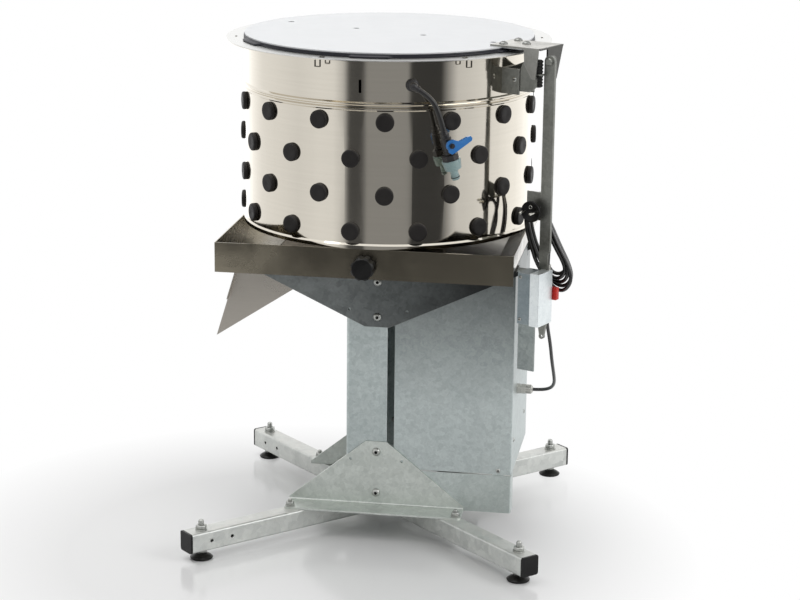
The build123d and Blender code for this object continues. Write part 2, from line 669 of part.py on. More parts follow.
def drum_shell():
    """A rolled sheet drum: out-turned rim on top, two beads under it and one at the foot."""
    wall = DRUM_RADIUS - DRUM_WALL
    outline = [(wall, TRAY_RIM_Z), (DRUM_RADIUS + FOOT_BEAD_RISE, TRAY_RIM_Z),
               (DRUM_RADIUS + FOOT_BEAD_RISE, TRAY_RIM_Z + FOOT_BEAD_HEIGHT - 3),
               (DRUM_RADIUS, TRAY_RIM_Z + FOOT_BEAD_HEIGHT)]
    for z in BEAD_HEIGHTS:
        outline += [(DRUM_RADIUS, z - BEAD_HALF), (DRUM_RADIUS + BEAD_RISE, z - BEAD_HALF / 3),
                    (DRUM_RADIUS + BEAD_RISE, z + BEAD_HALF / 3), (DRUM_RADIUS, z + BEAD_HALF)]
    outline += [(DRUM_RADIUS, DRUM_TOP - RIM_SHEET), (RIM_RADIUS, DRUM_TOP - RIM_SHEET),
                (RIM_RADIUS, DRUM_TOP), (wall, DRUM_TOP)]
    shell = revolve(Plane.XZ * make_face(Polyline(*outline, close=True)), Axis.Z)
    drill = Rot(0, 90, 0) * Cylinder(FINGER_NECK_RADIUS + FINGER_HOLE_CLEAR, 20)
    holes = [place * Pos(DRUM_RADIUS, 0, 0) * drill for place in finger_places()]
    shell -= holes
    for azimuth, rho, length in RIM_SLOTS:
        slot = SlotOverall(length, RIM_SLOT_WIDTH)
        shell -= Rot(0, 0, azimuth) * Pos(rho, 0, DRUM_TOP - 5) * Rot(0, 0, 90) * extrude(slot, amount=10)
    port = Rot(0, 90, 0) * Cylinder(OUTLET_RADIUS, 20)
    shell -= Rot(0, 0, OUTLET_AZIMUTH) * Pos(DRUM_RADIUS, 0, OUTLET_Z) * port
    window = block((DRUM_RADIUS - 10, DRUM_RADIUS + 10), (-2.2, 2.2), (817, 839))
    return shell - Rot(0, 0, WALL_SLOT_AZIMUTH) * window


def finger_places():
    """Each drum finger's place: local +X points outwards through the wall."""
    places = []
    step = 360.0 / FINGERS_PER_ROW
    for row, z in enumerate(ROW_HEIGHTS):
        stagger = step / 2 if row % 2 else 0.0
        for index in range(FINGERS_PER_ROW):
            places.append(Rot(0, 0, FIRST_FINGER + stagger + step * index) * Pos(0, 0, z))
    return places


def finger():
    """One rubber finger along -X: a round head outside, a taper inside. Its seat is at x 0."""
    head = FINGER_HEAD_RADIUS
    outline = Polyline((FINGER_HEAD, 0), (FINGER_HEAD, head), (0, head), (0, FINGER_NECK_RADIUS),
                       (-FINGER_LENGTH, FINGER_TIP_RADIUS), (-FINGER_LENGTH, 0), close=True)
    return revolve(make_face(outline), Axis.X)


def drum_fingers():
    shape = finger()
    return [place * Pos(DRUM_RADIUS, 0, 0) * shape for place in finger_places()]


def rotor_finger_places():
    places = []
    for radius, count in ROTOR_RINGS:
        for index in range(count):
            turn = radians(360.0 * index / count + 11.0)
            places.append((radius * cos(turn), radius * sin(turn)))
    return places


def rotor_plate():
    """The spinning floor of the drum, with a hub boss and holes for its fingers."""
    rim = DRUM_RADIUS - DRUM_WALL - PLATE_GAP
    plate = rod(rim, ROTOR_Z, ROTOR_Z + ROTOR_PLATE)
    boss = rod(HUB_RADIUS, ROTOR_Z, ROTOR_Z + ROTOR_PLATE + HUB_HEIGHT)
    boss = chamfer(boss.edges().sort_by(Axis.Z)[-1], 6)
    part = plate + boss - rod(SHAFT_RADIUS, ROTOR_Z - 1, ROTOR_Z + 60)
    for x, y in rotor_finger_places():
        part -= rod(FINGER_NECK_RADIUS + FINGER_HOLE_CLEAR, ROTOR_Z - 1, ROTOR_Z + 10, x, y)
    return part


def rotor_fingers():
    shape = Rot(0, 90, 0) * finger()
    return [Pos(x, y, ROTOR_Z) * shape for x, y in rotor_finger_places()]


def rotor_nut():
    """Domed cap nut on the end of the shaft."""
    top = ROTOR_Z + ROTOR_PLATE + HUB_HEIGHT
    nut = Pos(0, 0, top) * hexagon(36, 12)
    return nut + rod(13, top + 12, top + 18)


# Lid and hinge

def lid_outline(radius, reach):
    """The lid's round plan with the tongue that carries the hinge bracket."""
    tongue = Pos((BRACKET_IN + reach) / 2, 0) * Rectangle(reach - BRACKET_IN, 2 * TONGUE_HALF)
    return Circle(radius) + tongue


def lid_panel():
    plan = lid_outline(LID_RADIUS, TONGUE_REACH)
    for step in (-1.5, -0.5, 0.5, 1.5):
        plan -= Pos(step * LID_HOLE_PITCH, 0) * Circle(LID_HOLE_RADIUS)
    for rho, tau in BRACKET_BOLTS:
        plan -= Pos(rho, tau) * Circle(BOLT_RADIUS + BOLT_CLEAR)
    return HINGE * Pos(0, 0, LID_Z) * extrude(plan, amount=LID_SHEET)


def lid_seal():
    """A rubber ring under the lid's edge, with flat lugs that rest on the drum's rim."""
    low = DRUM_TOP + SEAL_GAP
    ring = rod(LID_RADIUS + 0.8, low, LID_Z) - rod(LID_RADIUS - SEAL_WIDTH, low - 1, LID_Z + 1)
    wedge = SEAL_LUG_REACH * tan(radians(SEAL_LUG_HALF_ANGLE))
    for azimuth in SEAL_LUG_ANGLES:
        lug = Rot(0, 0, azimuth) * block((LID_RADIUS - 3, SEAL_LUG_REACH), (-wedge, wedge),
                                         (low, low + SEAL_LUG))
        ring += lug
    return HINGE * (Rot(0, 0, -LID_AZIMUTH) * ring)


def lid_bracket():
    """Folded bracket: top plate on the tongue, a front ear, an outer flange and the pivot lug."""
    thick = EAR_THICK
    top_z = BRACKET_Z + thick
    plate = block((BRACKET_IN, BRACKET_OUT), (EAR_FRONT, 37.0), (BRACKET_Z, top_z))
    ear = front_plate([(290.0, top_z), (318.0, top_z), (313.0, 835.0), (306.5, 835.0), (291.5, 858.0)],
                      EAR_FRONT, thick)
    lug_front = POST_FRONT + POST_THICK + LUG_GAP
    flange_face = [(lug_front, top_z), (37.0, top_z), (17.0, 832.0), (12.0, 828.0), (lug_front, 828.0)]
    wire = Polyline(*[(0, tau, z) for tau, z in flange_face], close=True)
    flange = Pos(BRACKET_OUT - thick, 0, 0) * extrude(make_face(wire), amount=thick, dir=(1, 0, 0))
    arm = [(BRACKET_OUT - thick, 828.0), (PIVOT_RHO + 6, 828.0), (PIVOT_RHO + 9.7, PIVOT_Z),
           (BRACKET_OUT - thick, PIVOT_Z)]
    lug = front_plate(arm, lug_front, LUG_THICK)
    crown = Pos(PIVOT_RHO, lug_front + LUG_THICK / 2, PIVOT_Z) * Rot(90, 0, 0) * Cylinder(9.7, LUG_THICK)
    part = plate + ear + flange + lug + crown
    hole = Pos(PIVOT_RHO, 0, PIVOT_Z) * Rot(90, 0, 0) * Cylinder(PIVOT_RADIUS + RUNNING_GAP, 80)
    part -= hole
    for rho, tau in BRACKET_BOLTS:
        part -= rod(BOLT_RADIUS + BOLT_CLEAR, BRACKET_Z - 1, top_z + 1, rho, tau)
    return HINGE * part


def lid_bracket_bolts():
    bolt = button_screw(BOLT_RADIUS, BOLT_HEAD_RADIUS, BOLT_HEAD, EAR_THICK + LID_SHEET)
    return [HINGE * Pos(rho, tau, BRACKET_Z + EAR_THICK) * bolt for rho, tau in BRACKET_BOLTS]


def pivot_bolt():
    """The hinge pin: a head in front of the post and a riveted end behind the lug."""
    back = POST_FRONT + POST_THICK + LUG_GAP + LUG_THICK + 0.4
    shank = Cylinder(PIVOT_RADIUS, back - POST_FRONT + 2, align=(Align.CENTER, Align.CENTER, Align.MIN))
    head = Cylinder(6.5, 5, align=(Align.CENTER, Align.CENTER, Align.MAX))
    head = chamfer(head.edges().sort_by(Axis.Z)[0], 1.5)
    tail = Pos(0, 0, back - POST_FRONT) * Cylinder(6, 2.5, align=(Align.CENTER, Align.CENTER, Align.MIN))
    pin = head + shank + tail
    return HINGE * Pos(PIVOT_RHO, POST_FRONT, PIVOT_Z) * Rot(-90, 0, 0) * pin


def lid_post():
    """A flat bar with round ends: the pivot on top, a spare eye at its foot."""
    wide, narrow = POST_WIDTH / 2, POST_FOOT_WIDTH / 2
    x = PIVOT_RHO
    step = POST_NARROW_Z
    eye = POST_BOTTOM + 7
    bar = [(x - wide, PIVOT_Z), (x - wide, eye + 24), (x - 6.0, eye), (x + 6.0 - 4, eye),
           (x - wide + 2 * narrow, eye + 24), (x - wide + 2 * narrow, step - 8), (x + wide, step),
           (x + wide, PIVOT_Z)]
    plate = front_plate(bar, POST_FRONT, POST_THICK)
    for cx, cz, r in ((x, PIVOT_Z, wide), (x - 2.0, eye, 4.9)):
        plate += Pos(cx, POST_FRONT + POST_THICK / 2, cz) * Rot(90, 0, 0) * Cylinder(r, POST_THICK)
    bore = Rot(90, 0, 0) * Cylinder(PIVOT_RADIUS, 60)
    plate -= Pos(x, 0, PIVOT_Z) * bore
    plate -= Pos(x - 2.0, 0, eye) * Rot(90, 0, 0) * Cylinder(2.6, 60)
    return HINGE * (plate + cord_hook())


def hinge_support():
    """Bracket from the drum's wall to the post: a U on the wall, a wing and a tab that carries the buffer."""
    low, high = SUPPORT_Z
    front, back = SUPPORT_TAU
    sheet = SUPPORT_SHEET
    wall = DRUM_RADIUS + 0.05
    flange = block((DRUM_RADIUS - 15, DRUM_RADIUS + 5), (front, back), (low, high)) & rod(wall + 4, low, high)
    near_cheek = block((DRUM_RADIUS - 15, 281.0), (front, front + sheet), (low, high))
    far_cheek = front_plate([(DRUM_RADIUS - 15, low), (288.0, low), (288.0, high + 5), (284.0, high + 10),
                             (276.0, high + 10), (DRUM_RADIUS + 2, high)], back - sheet, sheet)
    joint = block((262.0, 300.0), (front + sheet, front + 2 * sheet), (low + 6, high - 3))
    wing = front_plate([(283.6, 814.7), (306.0, 814.7), (314.0, 822.7), (314.0, 836.0), (296.0, 858.0),
                        (291.0, 864.0), (286.0, 858.0), (283.6, 851.0)], front, sheet)
    tab = block((283.0, 322.0), (front + sheet, POST_FRONT), (TAB_Z, TAB_Z + sheet))
    part = flange + near_cheek + far_cheek + joint + wing + tab - rod(wall, low - 10, high + 20)
    part -= rod(BUFFER_NECK, TAB_Z - 1, TAB_Z + sheet + 1, *BUFFER_PLACE)
    part -= support_screw_place() * Cylinder(COVER_SCREW_RADIUS + 0.2, 20)
    return HINGE * part


def support_screw_place():
    return Pos(272.0, SUPPORT_TAU[0], 831.0) * Rot(90, 0, 0)


def bump_stop():
    """A ribbed rubber buffer with a neck in the tab's hole and a ribbed half on each side."""
    neck = (TAB_Z, TAB_Z + SUPPORT_SHEET)
    points = [(0.0, BUFFER_Z[0]), (BUFFER_RADIUS - 2.5, BUFFER_Z[0])]
    for low, high in ((BUFFER_Z[0], neck[0]), (neck[1], BUFFER_Z[1])):
        pitch = (high - low) / BUFFER_RIBS
        for rib in range(BUFFER_RIBS):
            base = low + rib * pitch
            groove = BUFFER_RADIUS - 1.2
            points += [(groove, base + 0.15 * pitch), (BUFFER_RADIUS, base + 0.3 * pitch),
                       (BUFFER_RADIUS, base + 0.7 * pitch), (groove, base + 0.85 * pitch)]
        if low == BUFFER_Z[0]:
            points += [(BUFFER_RADIUS - 1.2, neck[0]), (BUFFER_NECK, neck[0]), (BUFFER_NECK, neck[1]),
                       (BUFFER_RADIUS - 1.2, neck[1])]
    points += [(BUFFER_RADIUS - 2.5, BUFFER_Z[1]), (0.0, BUFFER_Z[1])]
    shape = revolve(Plane.XZ * make_face(Polyline(*points, close=True)), Axis.Z)
    return HINGE * Pos(*BUFFER_PLACE, 0.0) * shape


def post_bracket():
    """Galvanised angle: a level plate under the head plate's flange, and a leg behind the post."""
    face = POST_FRONT + POST_THICK
    leg = front_plate([(279.0, 328.0), (311.0, 328.0), (311.0, 428.0), (335.0, 442.0), (335.0, DECK_Z - 8),
                       (319.0, DECK_Z), (279.0, DECK_Z)], face, PLATE)
    shelf = block((200.0, 319.0), (face, 5.0), (DECK_Z - PLATE, DECK_Z))
    part = HINGE * (leg + shelf)
    part -= block((0.0, 400.0), (-GUSSET_Y - PLATE - 1, 200.0), (DECK_Z - 60, DECK_Z + 5))
    return part - rod(BOLT_RADIUS + BOLT_CLEAR, DECK_Z - 6, DECK_Z + 1, *BRACKET_BOLT)


def cord_hook():
    """A bent strap welded to the back of the post; it carries the wound cord."""
    face = POST_FRONT + POST_THICK
    strap = block((290.0, 330.0), (face, face + 3.0), (617.0, 642.0))
    arm = block((290.0, 303.0), (face, 28.0), (617.0, 620.0))
    lip = block((290.0, 303.0), (26.0, 28.0), (617.0, 633.0))
    return strap + arm + lip


# Switch box

def switch_box():
    """Folded box on the post, open towards its cover."""
    rho = (BOX_RHO[0], BOX_RHO[1] - 2 * BOX_SHEET)
    tau = (BOX_TAU[0] + BOX_SHEET, BOX_TAU[1])
    z = (BOX_Z[0] + BOX_SHEET, BOX_Z[1] - BOX_SHEET)
    outer = block(rho, tau, z)
    wall = 1.5
    hollow = block((rho[0] + wall, rho[1] + 1), (tau[0] + wall, tau[1] - wall), (z[0] + wall, z[1] - wall))
    box = outer - hollow
    for place in box_screw_places():
        box -= place * Cylinder(BOX_SCREW_RADIUS + 0.2, 4)
    return HINGE * box


def switch_box_cover():
    """Cover that wraps the outer half of the box, with a flange that runs past the post."""
    rho = (COVER_RHO, BOX_RHO[1])
    outer = block(rho, (BOX_TAU[0], COVER_BACK), BOX_Z)
    outer = fillet(outer.edges().filter_by(Axis.Z).sort_by(Axis.X)[-2:], 1.0)
    hollow = block((rho[0] - 1, rho[1] - BOX_SHEET), (BOX_TAU[0] + BOX_SHEET, COVER_BACK + 1),
                   (BOX_Z[0] + BOX_SHEET, BOX_Z[1] - BOX_SHEET))
    beside_post = block((rho[0] - 1, rho[1] - BOX_SHEET), (BOX_TAU[1], COVER_BACK + 1),
                        (BOX_Z[0] - 1, BOX_Z[1] + 1))
    return HINGE * (outer - hollow - beside_post)


def box_screw_places():
    rho = BOX_RHO[0] + 5
    return [Pos(rho, BOX_TAU[0] + BOX_SHEET, z) * Rot(90, 0, 0) for z in (BOX_Z[0] + 9, BOX_Z[1] - 9)]


def switch_box_screws():
    screw = button_screw(BOX_SCREW_RADIUS, 3.2, 1.6, 4.0)
    return [HINGE * place * screw for place in box_screw_places()]


def support_screw():
    """The screw through the near cheek of the hinge bracket."""
    return HINGE * support_screw_place() * button_screw(COVER_SCREW_RADIUS, COVER_SCREW_HEAD, 1.8, 7.0)


def switch_body():
    """The switch's moulded housing behind the post, with a well for its button."""
    body = block(SWITCH_RHO, SWITCH_TAU, SWITCH_Z)
    body = fillet(body.edges().filter_by(Axis.X), 2)
    body -= block((SWITCH_RHO[1] - 8, SWITCH_RHO[1] + 1), (BUTTON_TAU[0] - 0.4, BUTTON_TAU[1] + 0.4),
                  (STOP_Z[0] - 0.4, STOP_Z[1] + 0.4))
    return HINGE * body


def stop_button():
    key = block((SWITCH_RHO[1] - 4.5, SWITCH_RHO[1] + KEY_REACH), BUTTON_TAU, STOP_Z)
    return HINGE * chamfer(key.faces().sort_by(Axis.X)[-1].edges(), 1.0)


# Cables

def gland(cable_radius):
    """A cable gland along +Z: thread, lock nut, washer, hexagon and domed nut."""
    thread = rod(GLAND_THREAD - 0.2, -6, 0)
    body = hexagon(16, 6) + rod(8.0, 6, 8) + Pos(0, 0, 8) * hexagon(15.5, 7) + rod(8.2, 15, GLAND_LENGTH)
    body = chamfer(body.edges().sort_by(Axis.Z)[-1], 3)
    return thread + body - rod(cable_radius, -7, GLAND_LENGTH + 1)


def motor_gland():
    return Pos(CASING_RIGHT, GLAND_Y, GLAND_Z) * Rot(0, 90, 0) * gland(MOTOR_CABLE_DIAMETER / 2)


def switch_glands():
    """Short moulded sleeves on the switch: one below for the motor lead, one above for the mains."""
    low = rod(5.0, -10, 0) - rod(MOTOR_CABLE_DIAMETER / 2, -11, 1)
    high = rod(5.2, 0, 10) - rod(MAINS_DIAMETER / 2, -1, 11)
    return [HINGE * Pos(*SWITCH_LEAD, SWITCH_Z[0]) * low, HINGE * Pos(*SWITCH_LEAD, SWITCH_Z[1]) * high]


def hinge_point(rho, tau, z):
    turn = radians(LID_AZIMUTH)
    return (rho * cos(turn) - tau * sin(turn), rho * sin(turn) + tau * cos(turn), z)


# Motor lead, from the switch down to the gland on the casing
MOTOR_CABLE_ROUTE = [
    hinge_point(*SWITCH_LEAD, SWITCH_Z[0]),
    hinge_point(*SWITCH_LEAD, SWITCH_Z[0] - 24),
    (304.5, -126.0, 376.0),
    (306.0, -110.0, 344.0),
    (304.0, -88.0, 313.0),
    (297.5, -65.0, 289.5),
    (CASING_RIGHT + GLAND_LENGTH + 23, GLAND_Y, GLAND_Z),
    (CASING_RIGHT + GLAND_LENGTH, GLAND_Y, GLAND_Z),
]

# Mains lead, from the switch up to the wound hank
MAINS_ROUTE = [
    hinge_point(*SWITCH_LEAD, SWITCH_Z[1]),
    hinge_point(*SWITCH_LEAD, SWITCH_Z[1] + 20),
    hinge_point(326.5, 1.0, SWITCH_Z[1] + 40),
    hinge_point(320.0, 9.0, SWITCH_Z[1] + 58),
]


def cord_path(points, name):
    """Straight runs joined by tangent arcs, each as large as its two runs allow."""
    knots = [Vector(*point) for point in points]
    runs = [(after - before).length for before, after in zip(knots, knots[1:])]
    shares = [END_RUN_SHARE] + [RUN_SHARE] * (len(runs) - 2) + [END_RUN_SHARE]
    rooms = [run * share for run, share in zip(runs, shares)]
    radii = []
    for index, (before, at, after) in enumerate(zip(knots, knots[1:], knots[2:])):
        turn = radians((at - before).get_angle(after - at))
        radii.append(min(WIDEST_BEND, min(rooms[index], rooms[index + 1]) / tan(turn / 2)))
    print(name, "radii", [round(radius, 1) for radius in radii])
    return FilletPolyline(*points, radius=radii)


def cord(points, diameter, name):
    path = cord_path(points, name)
    profile = Plane(origin=path @ 0, z_dir=path % 0) * Circle(diameter / 2)
    tube = sweep(profile, path=path)
    print(name, "volume ratio", round(tube.volume / (pi * diameter ** 2 / 4 * path.length), 4))
    return tube


def cord_hank():
    """The wound mains lead: one closed loop hanging on the hook, wider at its foot."""
    outer = [(270.0, 600.0), (281.0, 618.0), (286.0, 630.0), (293.0, 634.0), (303.0, 632.0), (309.0, 622.0),
             (314.0, 605.0), (324.0, 576.0), (359.0, 513.0), (365.0, 490.0), (353.0, 469.0), (335.0, 471.0),
             (314.0, 483.0), (289.0, 520.0), (272.0, 567.0)]
    inner = [(283.0, 600.0), (289.5, 614.0), (289.5, 620.2), (303.5, 620.2), (304.0, 608.0), (312.0, 562.0),
             (334.0, 520.0), (342.5, 498.0), (329.0, 501.0), (305.0, 522.0), (287.0, 560.0)]
    low, high = HANK_TAU
    ring = front_plate(outer, low, high - low) - front_plate(inner, low - 1, high - low + 2)
    return HINGE * ring


def mains_plug():
    """A round moulded plug with two pins, its pins towards the front."""
    outline = Polyline((0, 0), (18, 0), (18, 6), (12, 10), (6, 15), (4.5, 22), (0, 22), close=True)
    body = revolve(Plane.XZ * make_face(outline), Axis.Z)
    body += rod(2.4, -19, 0, x=-9.5) + rod(2.4, -19, 0, x=9.5)
    away = Vector(*HANK_TAIL) - Vector(*PLUG_PLACE)
    tail_end = Vector(away.X, -away.Z, away.Y)
    tail_start = Vector(0, 0, 20)
    tail = Plane(origin=tail_start, z_dir=tail_end - tail_start) * Circle(MAINS_DIAMETER / 2)
    body += extrude(tail, amount=(tail_end - tail_start).length)
    body += Pos(0, 0, 20) * Sphere(4.4)
    return HINGE * Pos(*PLUG_PLACE) * Rot(-90, 0, 0) * body


# Hose and valve

def drum_point(azimuth, radius, z):
    return (radius * cos(radians(azimuth)), radius * sin(radians(azimuth)), z)


HOSE_KNEE = drum_point(OUTLET_AZIMUTH, 266.0, OUTLET_Z)
HOSE_SECOND = drum_point(-65.4, 271.0, 811.3)
VALVE_TOP = drum_point(-61.53, 274.0, 758.2)
VALVE_END = drum_point(-56.61, 274.0, 676.5)


def hose_outlet():
    """Elbow in the drum's wall: a flanged stub through the wall, then a bend down into the hose."""
    stub = Rot(0, 90, 0) * (Pos(0, 0, -10) * Cylinder(OUTLET_RADIUS - 0.2, 26))
    collar = Pos(4.0, 0, 0) * Rot(0, 90, 0) * Cylinder(12.0, 8)
    fitting = Rot(0, 0, OUTLET_AZIMUTH) * Pos(DRUM_RADIUS, 0, OUTLET_Z) * (stub + collar)
    ball = Pos(*HOSE_KNEE) * Sphere(8.0)
    branch = Plane(origin=HOSE_KNEE, z_dir=hose_start_axis()) * Circle(7.2)
    return fitting + ball + extrude(branch, amount=ELBOW_REACH)


def hose_start_axis():
    return (Vector(*HOSE_SECOND) - Vector(*HOSE_KNEE)).normalized()


def hose_route():
    """From the elbow to the valve: the first and last runs lie on their axes."""
    start = Vector(*HOSE_KNEE) + hose_start_axis() * ELBOW_REACH
    last = valve_plane(-24.0).origin
    return [tuple(start), HOSE_SECOND, tuple(last), VALVE_TOP]


def valve_plane(along):
    """A plane across the valve's axis, at a distance from its upper end. Local X points out."""
    top, end = Vector(*VALVE_TOP), Vector(*VALVE_END)
    axis = (end - top).normalized()
    outward = Vector(cos(radians(VALVE_AZIMUTH)), sin(radians(VALVE_AZIMUTH)), 0)
    flat = (outward - axis * outward.dot(axis)).normalized()
    return Plane(origin=top + axis * along, x_dir=flat, z_dir=axis)


def turned(stations):
    """A turned piece on the valve's axis from (distance, radius) stations."""
    points = [(0, stations[0][0])] + [(radius, along) for along, radius in stations] + [(0, stations[-1][0])]
    shape = revolve(Plane.XZ * make_face(Polyline(*points, close=True)), Axis.Z)
    return valve_plane(0).location * shape


def valve_body():
    """Ball valve: barbed inlet, round body with a stem boss, and a thread into the nut."""
    body = turned([(0.0, 5.6), (6.0, 6.4), (6.5, 7.6), (12.0, 7.6), (13.0, 9.5), (32.0, 9.5), (33.0, 8.2),
                   (35.0, 8.2), (35.5, 9.3), (UNION_START, 9.3)])
    return body + stem_piece(rod(5.0, 0, STEM_SHOULDER) + rod(STEM_RADIUS, STEM_SHOULDER, STEM_SHOULDER + 11))


def stem_piece(piece):
    """Place a piece drawn along Z on the valve's stem."""
    return valve_plane(STEM_ALONG).location * Rot(0, 90, 0) * piece


def valve_nuts():
    """The union nut under the valve, and the small nut that keeps the handle on its stem."""
    octagon = RegularPolygon(UNION_APOTHEM, 8, major_radius=False)
    union = extrude(valve_plane(UNION_START) * octagon, amount=UNION_LENGTH)
    top = STEM_SHOULDER + LEVER_GAP + LEVER_THICK + LEVER_GAP
    keeper = Pos(0, 0, top) * hexagon(8, 3.5) - rod(STEM_RADIUS, top - 1, top + 5)
    return [union, stem_piece(keeper)]


def hose_connector():
    """Quick connector: a wide tapering grip, a waist and a nose with its seal."""
    start = UNION_START + UNION_LENGTH
    return turned([(start, 16.0), (66.5, 13.8), (68.0, 6.8), (78.5, 6.6), (78.5, 7.2), (83.0, 7.2),
                   (83.5, 6.0), (85.0, 6.0)])


def valve_lever():
    """The flat fan-shaped handle on the stem, pointing right at rest, its skirt downwards."""
    fan = make_face(Polyline((-6, 6), (-7, -10), (-3, -14), (4, -13), (36, -4), (38, 0), (36, 4), (30, 4.5),
                             (15, 2.5), (6, 8.5), (0, 8.5), close=True))
    plan = fan + Circle(8.5) - Circle(STEM_RADIUS + RUNNING_GAP)
    handle = extrude(plan, amount=LEVER_THICK)
    return stem_piece(Pos(0, 0, STEM_SHOULDER + LEVER_GAP) * Rot(0, 0, LEVER_REST) * handle)


def rim_clips():
    """Two bent strips that hang from slots in the rim and curl up beside their legs."""
    path = FilletPolyline((-CLIP_CAP, DRUM_TOP + CLIP_SHEET), (0.0, DRUM_TOP + CLIP_SHEET), (0.0, CLIP_FOOT),
                          (CLIP_CURL, CLIP_FOOT), (CLIP_CURL, CLIP_FOOT + 10.0), radius=0.3)
    curl = offset(path, amount=CLIP_SHEET / 2, side=Side.BOTH)
    strip = extrude(Plane.YZ * make_face(curl), amount=CLIP_WIDTH / 2, both=True)
    left = Rot(0, 0, CLIP_AZIMUTHS[0]) * Pos(CLIP_RHO, 0, 0) * mirror(strip, about=Plane.XZ)
    right = Rot(0, 0, CLIP_AZIMUTHS[1]) * Pos(CLIP_RHO, 0, 0) * strip
    return [left, right]


def place_feet(piece):
    return {name: Rot(0, 0, angle) * Pos(FOOT_REACH, 0, 0) * piece for name, angle in ARM_ANGLES.items()}


def mirror_back(piece):
    return mirror(piece, about=Plane.XZ)


def main():
    os.makedirs("parts", exist_ok=True)

    through, butt_right, butt_left = base_arms()
    save("base_cross_tube", through)
    save("base_short_arms", butt_right, butt_left)
    save("tube_end_caps", *[Rot(0, 0, angle) * end_cap() for angle in ARM_ANGLES.values()])
    pads, studs = place_feet(foot_pad()), place_feet(foot_stud())
    for name in ARM_ANGLES:
        save(f"foot_{name}", pads[name], studs[name])
    nuts = []
    for piece in foot_fasteners():
        nuts += place_feet(piece).values()
    save("foot_nuts", *nuts)

    save("base_gusset_front", base_gusset())
    save("base_gusset_back", mirror_back(base_gusset()))
    save("head_gusset_front", head_gusset())
    save("head_gusset_back", mirror_back(head_gusset()))
    save("gusset_bolts", *gusset_bolts())
    save("column", column())
    save("casing_cover", casing_cover())
    save("casing_lower_panel", casing_lower_panel())
    save("cover_screws", *cover_screws(), *switch_box_screws(), support_screw())

    save("bearing_plate", bearing_plate())
    save("bearing_housings", bearing_housing(BEARING_PLATE_Z, True),
         bearing_housing(MOTOR_PLATE_Z + MOTOR_PLATE, False))
    save("shaft_bearings", shaft_bearing(BEARING_PLATE_Z - HOUSING_HEIGHT),
         shaft_bearing(MOTOR_PLATE_Z + MOTOR_PLATE + 3))
    save("motor_plate", motor_plate())
    save("motor_body", motor_body())
    save("motor_shaft", rod(MOTOR_SHAFT_RADIUS, MOTOR_PLATE_Z - 58, PULLEY_Z + 16, MOTOR_X, MOTOR_Y))
    save("drive_pulley", Pos(MOTOR_X, MOTOR_Y, 0) * pulley(DRIVE_RADIUS, MOTOR_SHAFT_RADIUS))
    save("driven_pulley", pulley(DRIVEN_RADIUS, SHAFT_RADIUS))
    save("drive_belt", drive_belt())
    save("rotor_shaft", rotor_shaft())
    save("rotor_plate", rotor_plate())
    save("rotor_fingers", *rotor_fingers())
    save("rotor_nut", rotor_nut())

    save("collection_tray", tray())
    save("tray_knob", tray_knob())
    save("feather_chute", chute())
    save("drum_shell", drum_shell())
    save("drum_fingers", *drum_fingers())
    save("rim_clips", *rim_clips())

    save("lid_panel", lid_panel())
    save("lid_seal", lid_seal())
    save("lid_bracket", lid_bracket())
    save("lid_bracket_bolts", *lid_bracket_bolts())
    save("pivot_bolt", pivot_bolt())
    save("lid_post", lid_post())
    save("hinge_support", hinge_support())
    save("bump_stop", bump_stop())
    save("post_bracket", post_bracket())

    save("switch_box", switch_box())
    save("switch_box_cover", switch_box_cover())
    save("switch_body", switch_body())
    save("stop_button", stop_button())
    save("cable_glands", motor_gland(), *switch_glands())
    save("motor_cable", cord(MOTOR_CABLE_ROUTE, MOTOR_CABLE_DIAMETER, "motor_cable"))
    save("mains_cord", cord(MAINS_ROUTE, MAINS_DIAMETER, "mains_cord"))
    save("cord_hank", cord_hank())
    save("mains_plug", mains_plug())

    save("hose_outlet", hose_outlet())
    save("spray_hose", cord(hose_route(), HOSE_DIAMETER, "spray_hose"))
    save("valve_body", valve_body(), *valve_nuts())
    save("hose_connector", hose_connector())
    save("valve_lever", valve_lever())


main()
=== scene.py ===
from math import cos, pi, radians, sin

import bmesh
import bpy
from mathutils import Matrix, Vector


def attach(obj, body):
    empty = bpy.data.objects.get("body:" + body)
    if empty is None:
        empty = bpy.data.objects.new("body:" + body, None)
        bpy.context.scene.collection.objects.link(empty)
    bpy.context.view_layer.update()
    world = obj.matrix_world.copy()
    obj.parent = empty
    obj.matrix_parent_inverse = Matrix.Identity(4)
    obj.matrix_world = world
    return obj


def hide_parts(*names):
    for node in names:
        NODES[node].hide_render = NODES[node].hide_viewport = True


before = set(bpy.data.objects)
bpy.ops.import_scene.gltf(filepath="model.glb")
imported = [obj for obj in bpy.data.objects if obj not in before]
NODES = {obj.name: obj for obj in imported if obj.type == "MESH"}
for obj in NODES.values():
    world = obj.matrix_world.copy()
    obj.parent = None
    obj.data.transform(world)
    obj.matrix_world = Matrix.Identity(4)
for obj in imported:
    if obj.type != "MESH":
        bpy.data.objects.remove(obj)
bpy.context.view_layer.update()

# Places and sizes of the machine, in millimetres and degrees, cords in metres
HINGE_AZIMUTH = radians(-24.0)
DRUM_RADIUS = 250.0
DRUM_WALL = 1.5
DRUM_TOP = 875.0
FINGER_ROWS = (769.5, 708.1, 646.7, 585.3)
FINGERS_PER_ROW = 14
FIRST_FINGER = -82.0
ROTOR_Z = 566.0
ROTOR_RINGS = ((138.0, 8), (72.0, 4))
ROTOR_FIRST = 11.0
ROTOR_PLATE = 5.0
ARM_ANGLES = {"front_left": 225.0, "front_right": 315.0, "back_left": 135.0, "back_right": 45.0}
FOOT_REACH = 389.0
TUBE_Z = 17.0
TUBE_TOP = 52.0
MAINS_LEAD = 0.0065
MOTOR_LEAD = 0.006
HOSE = 0.009


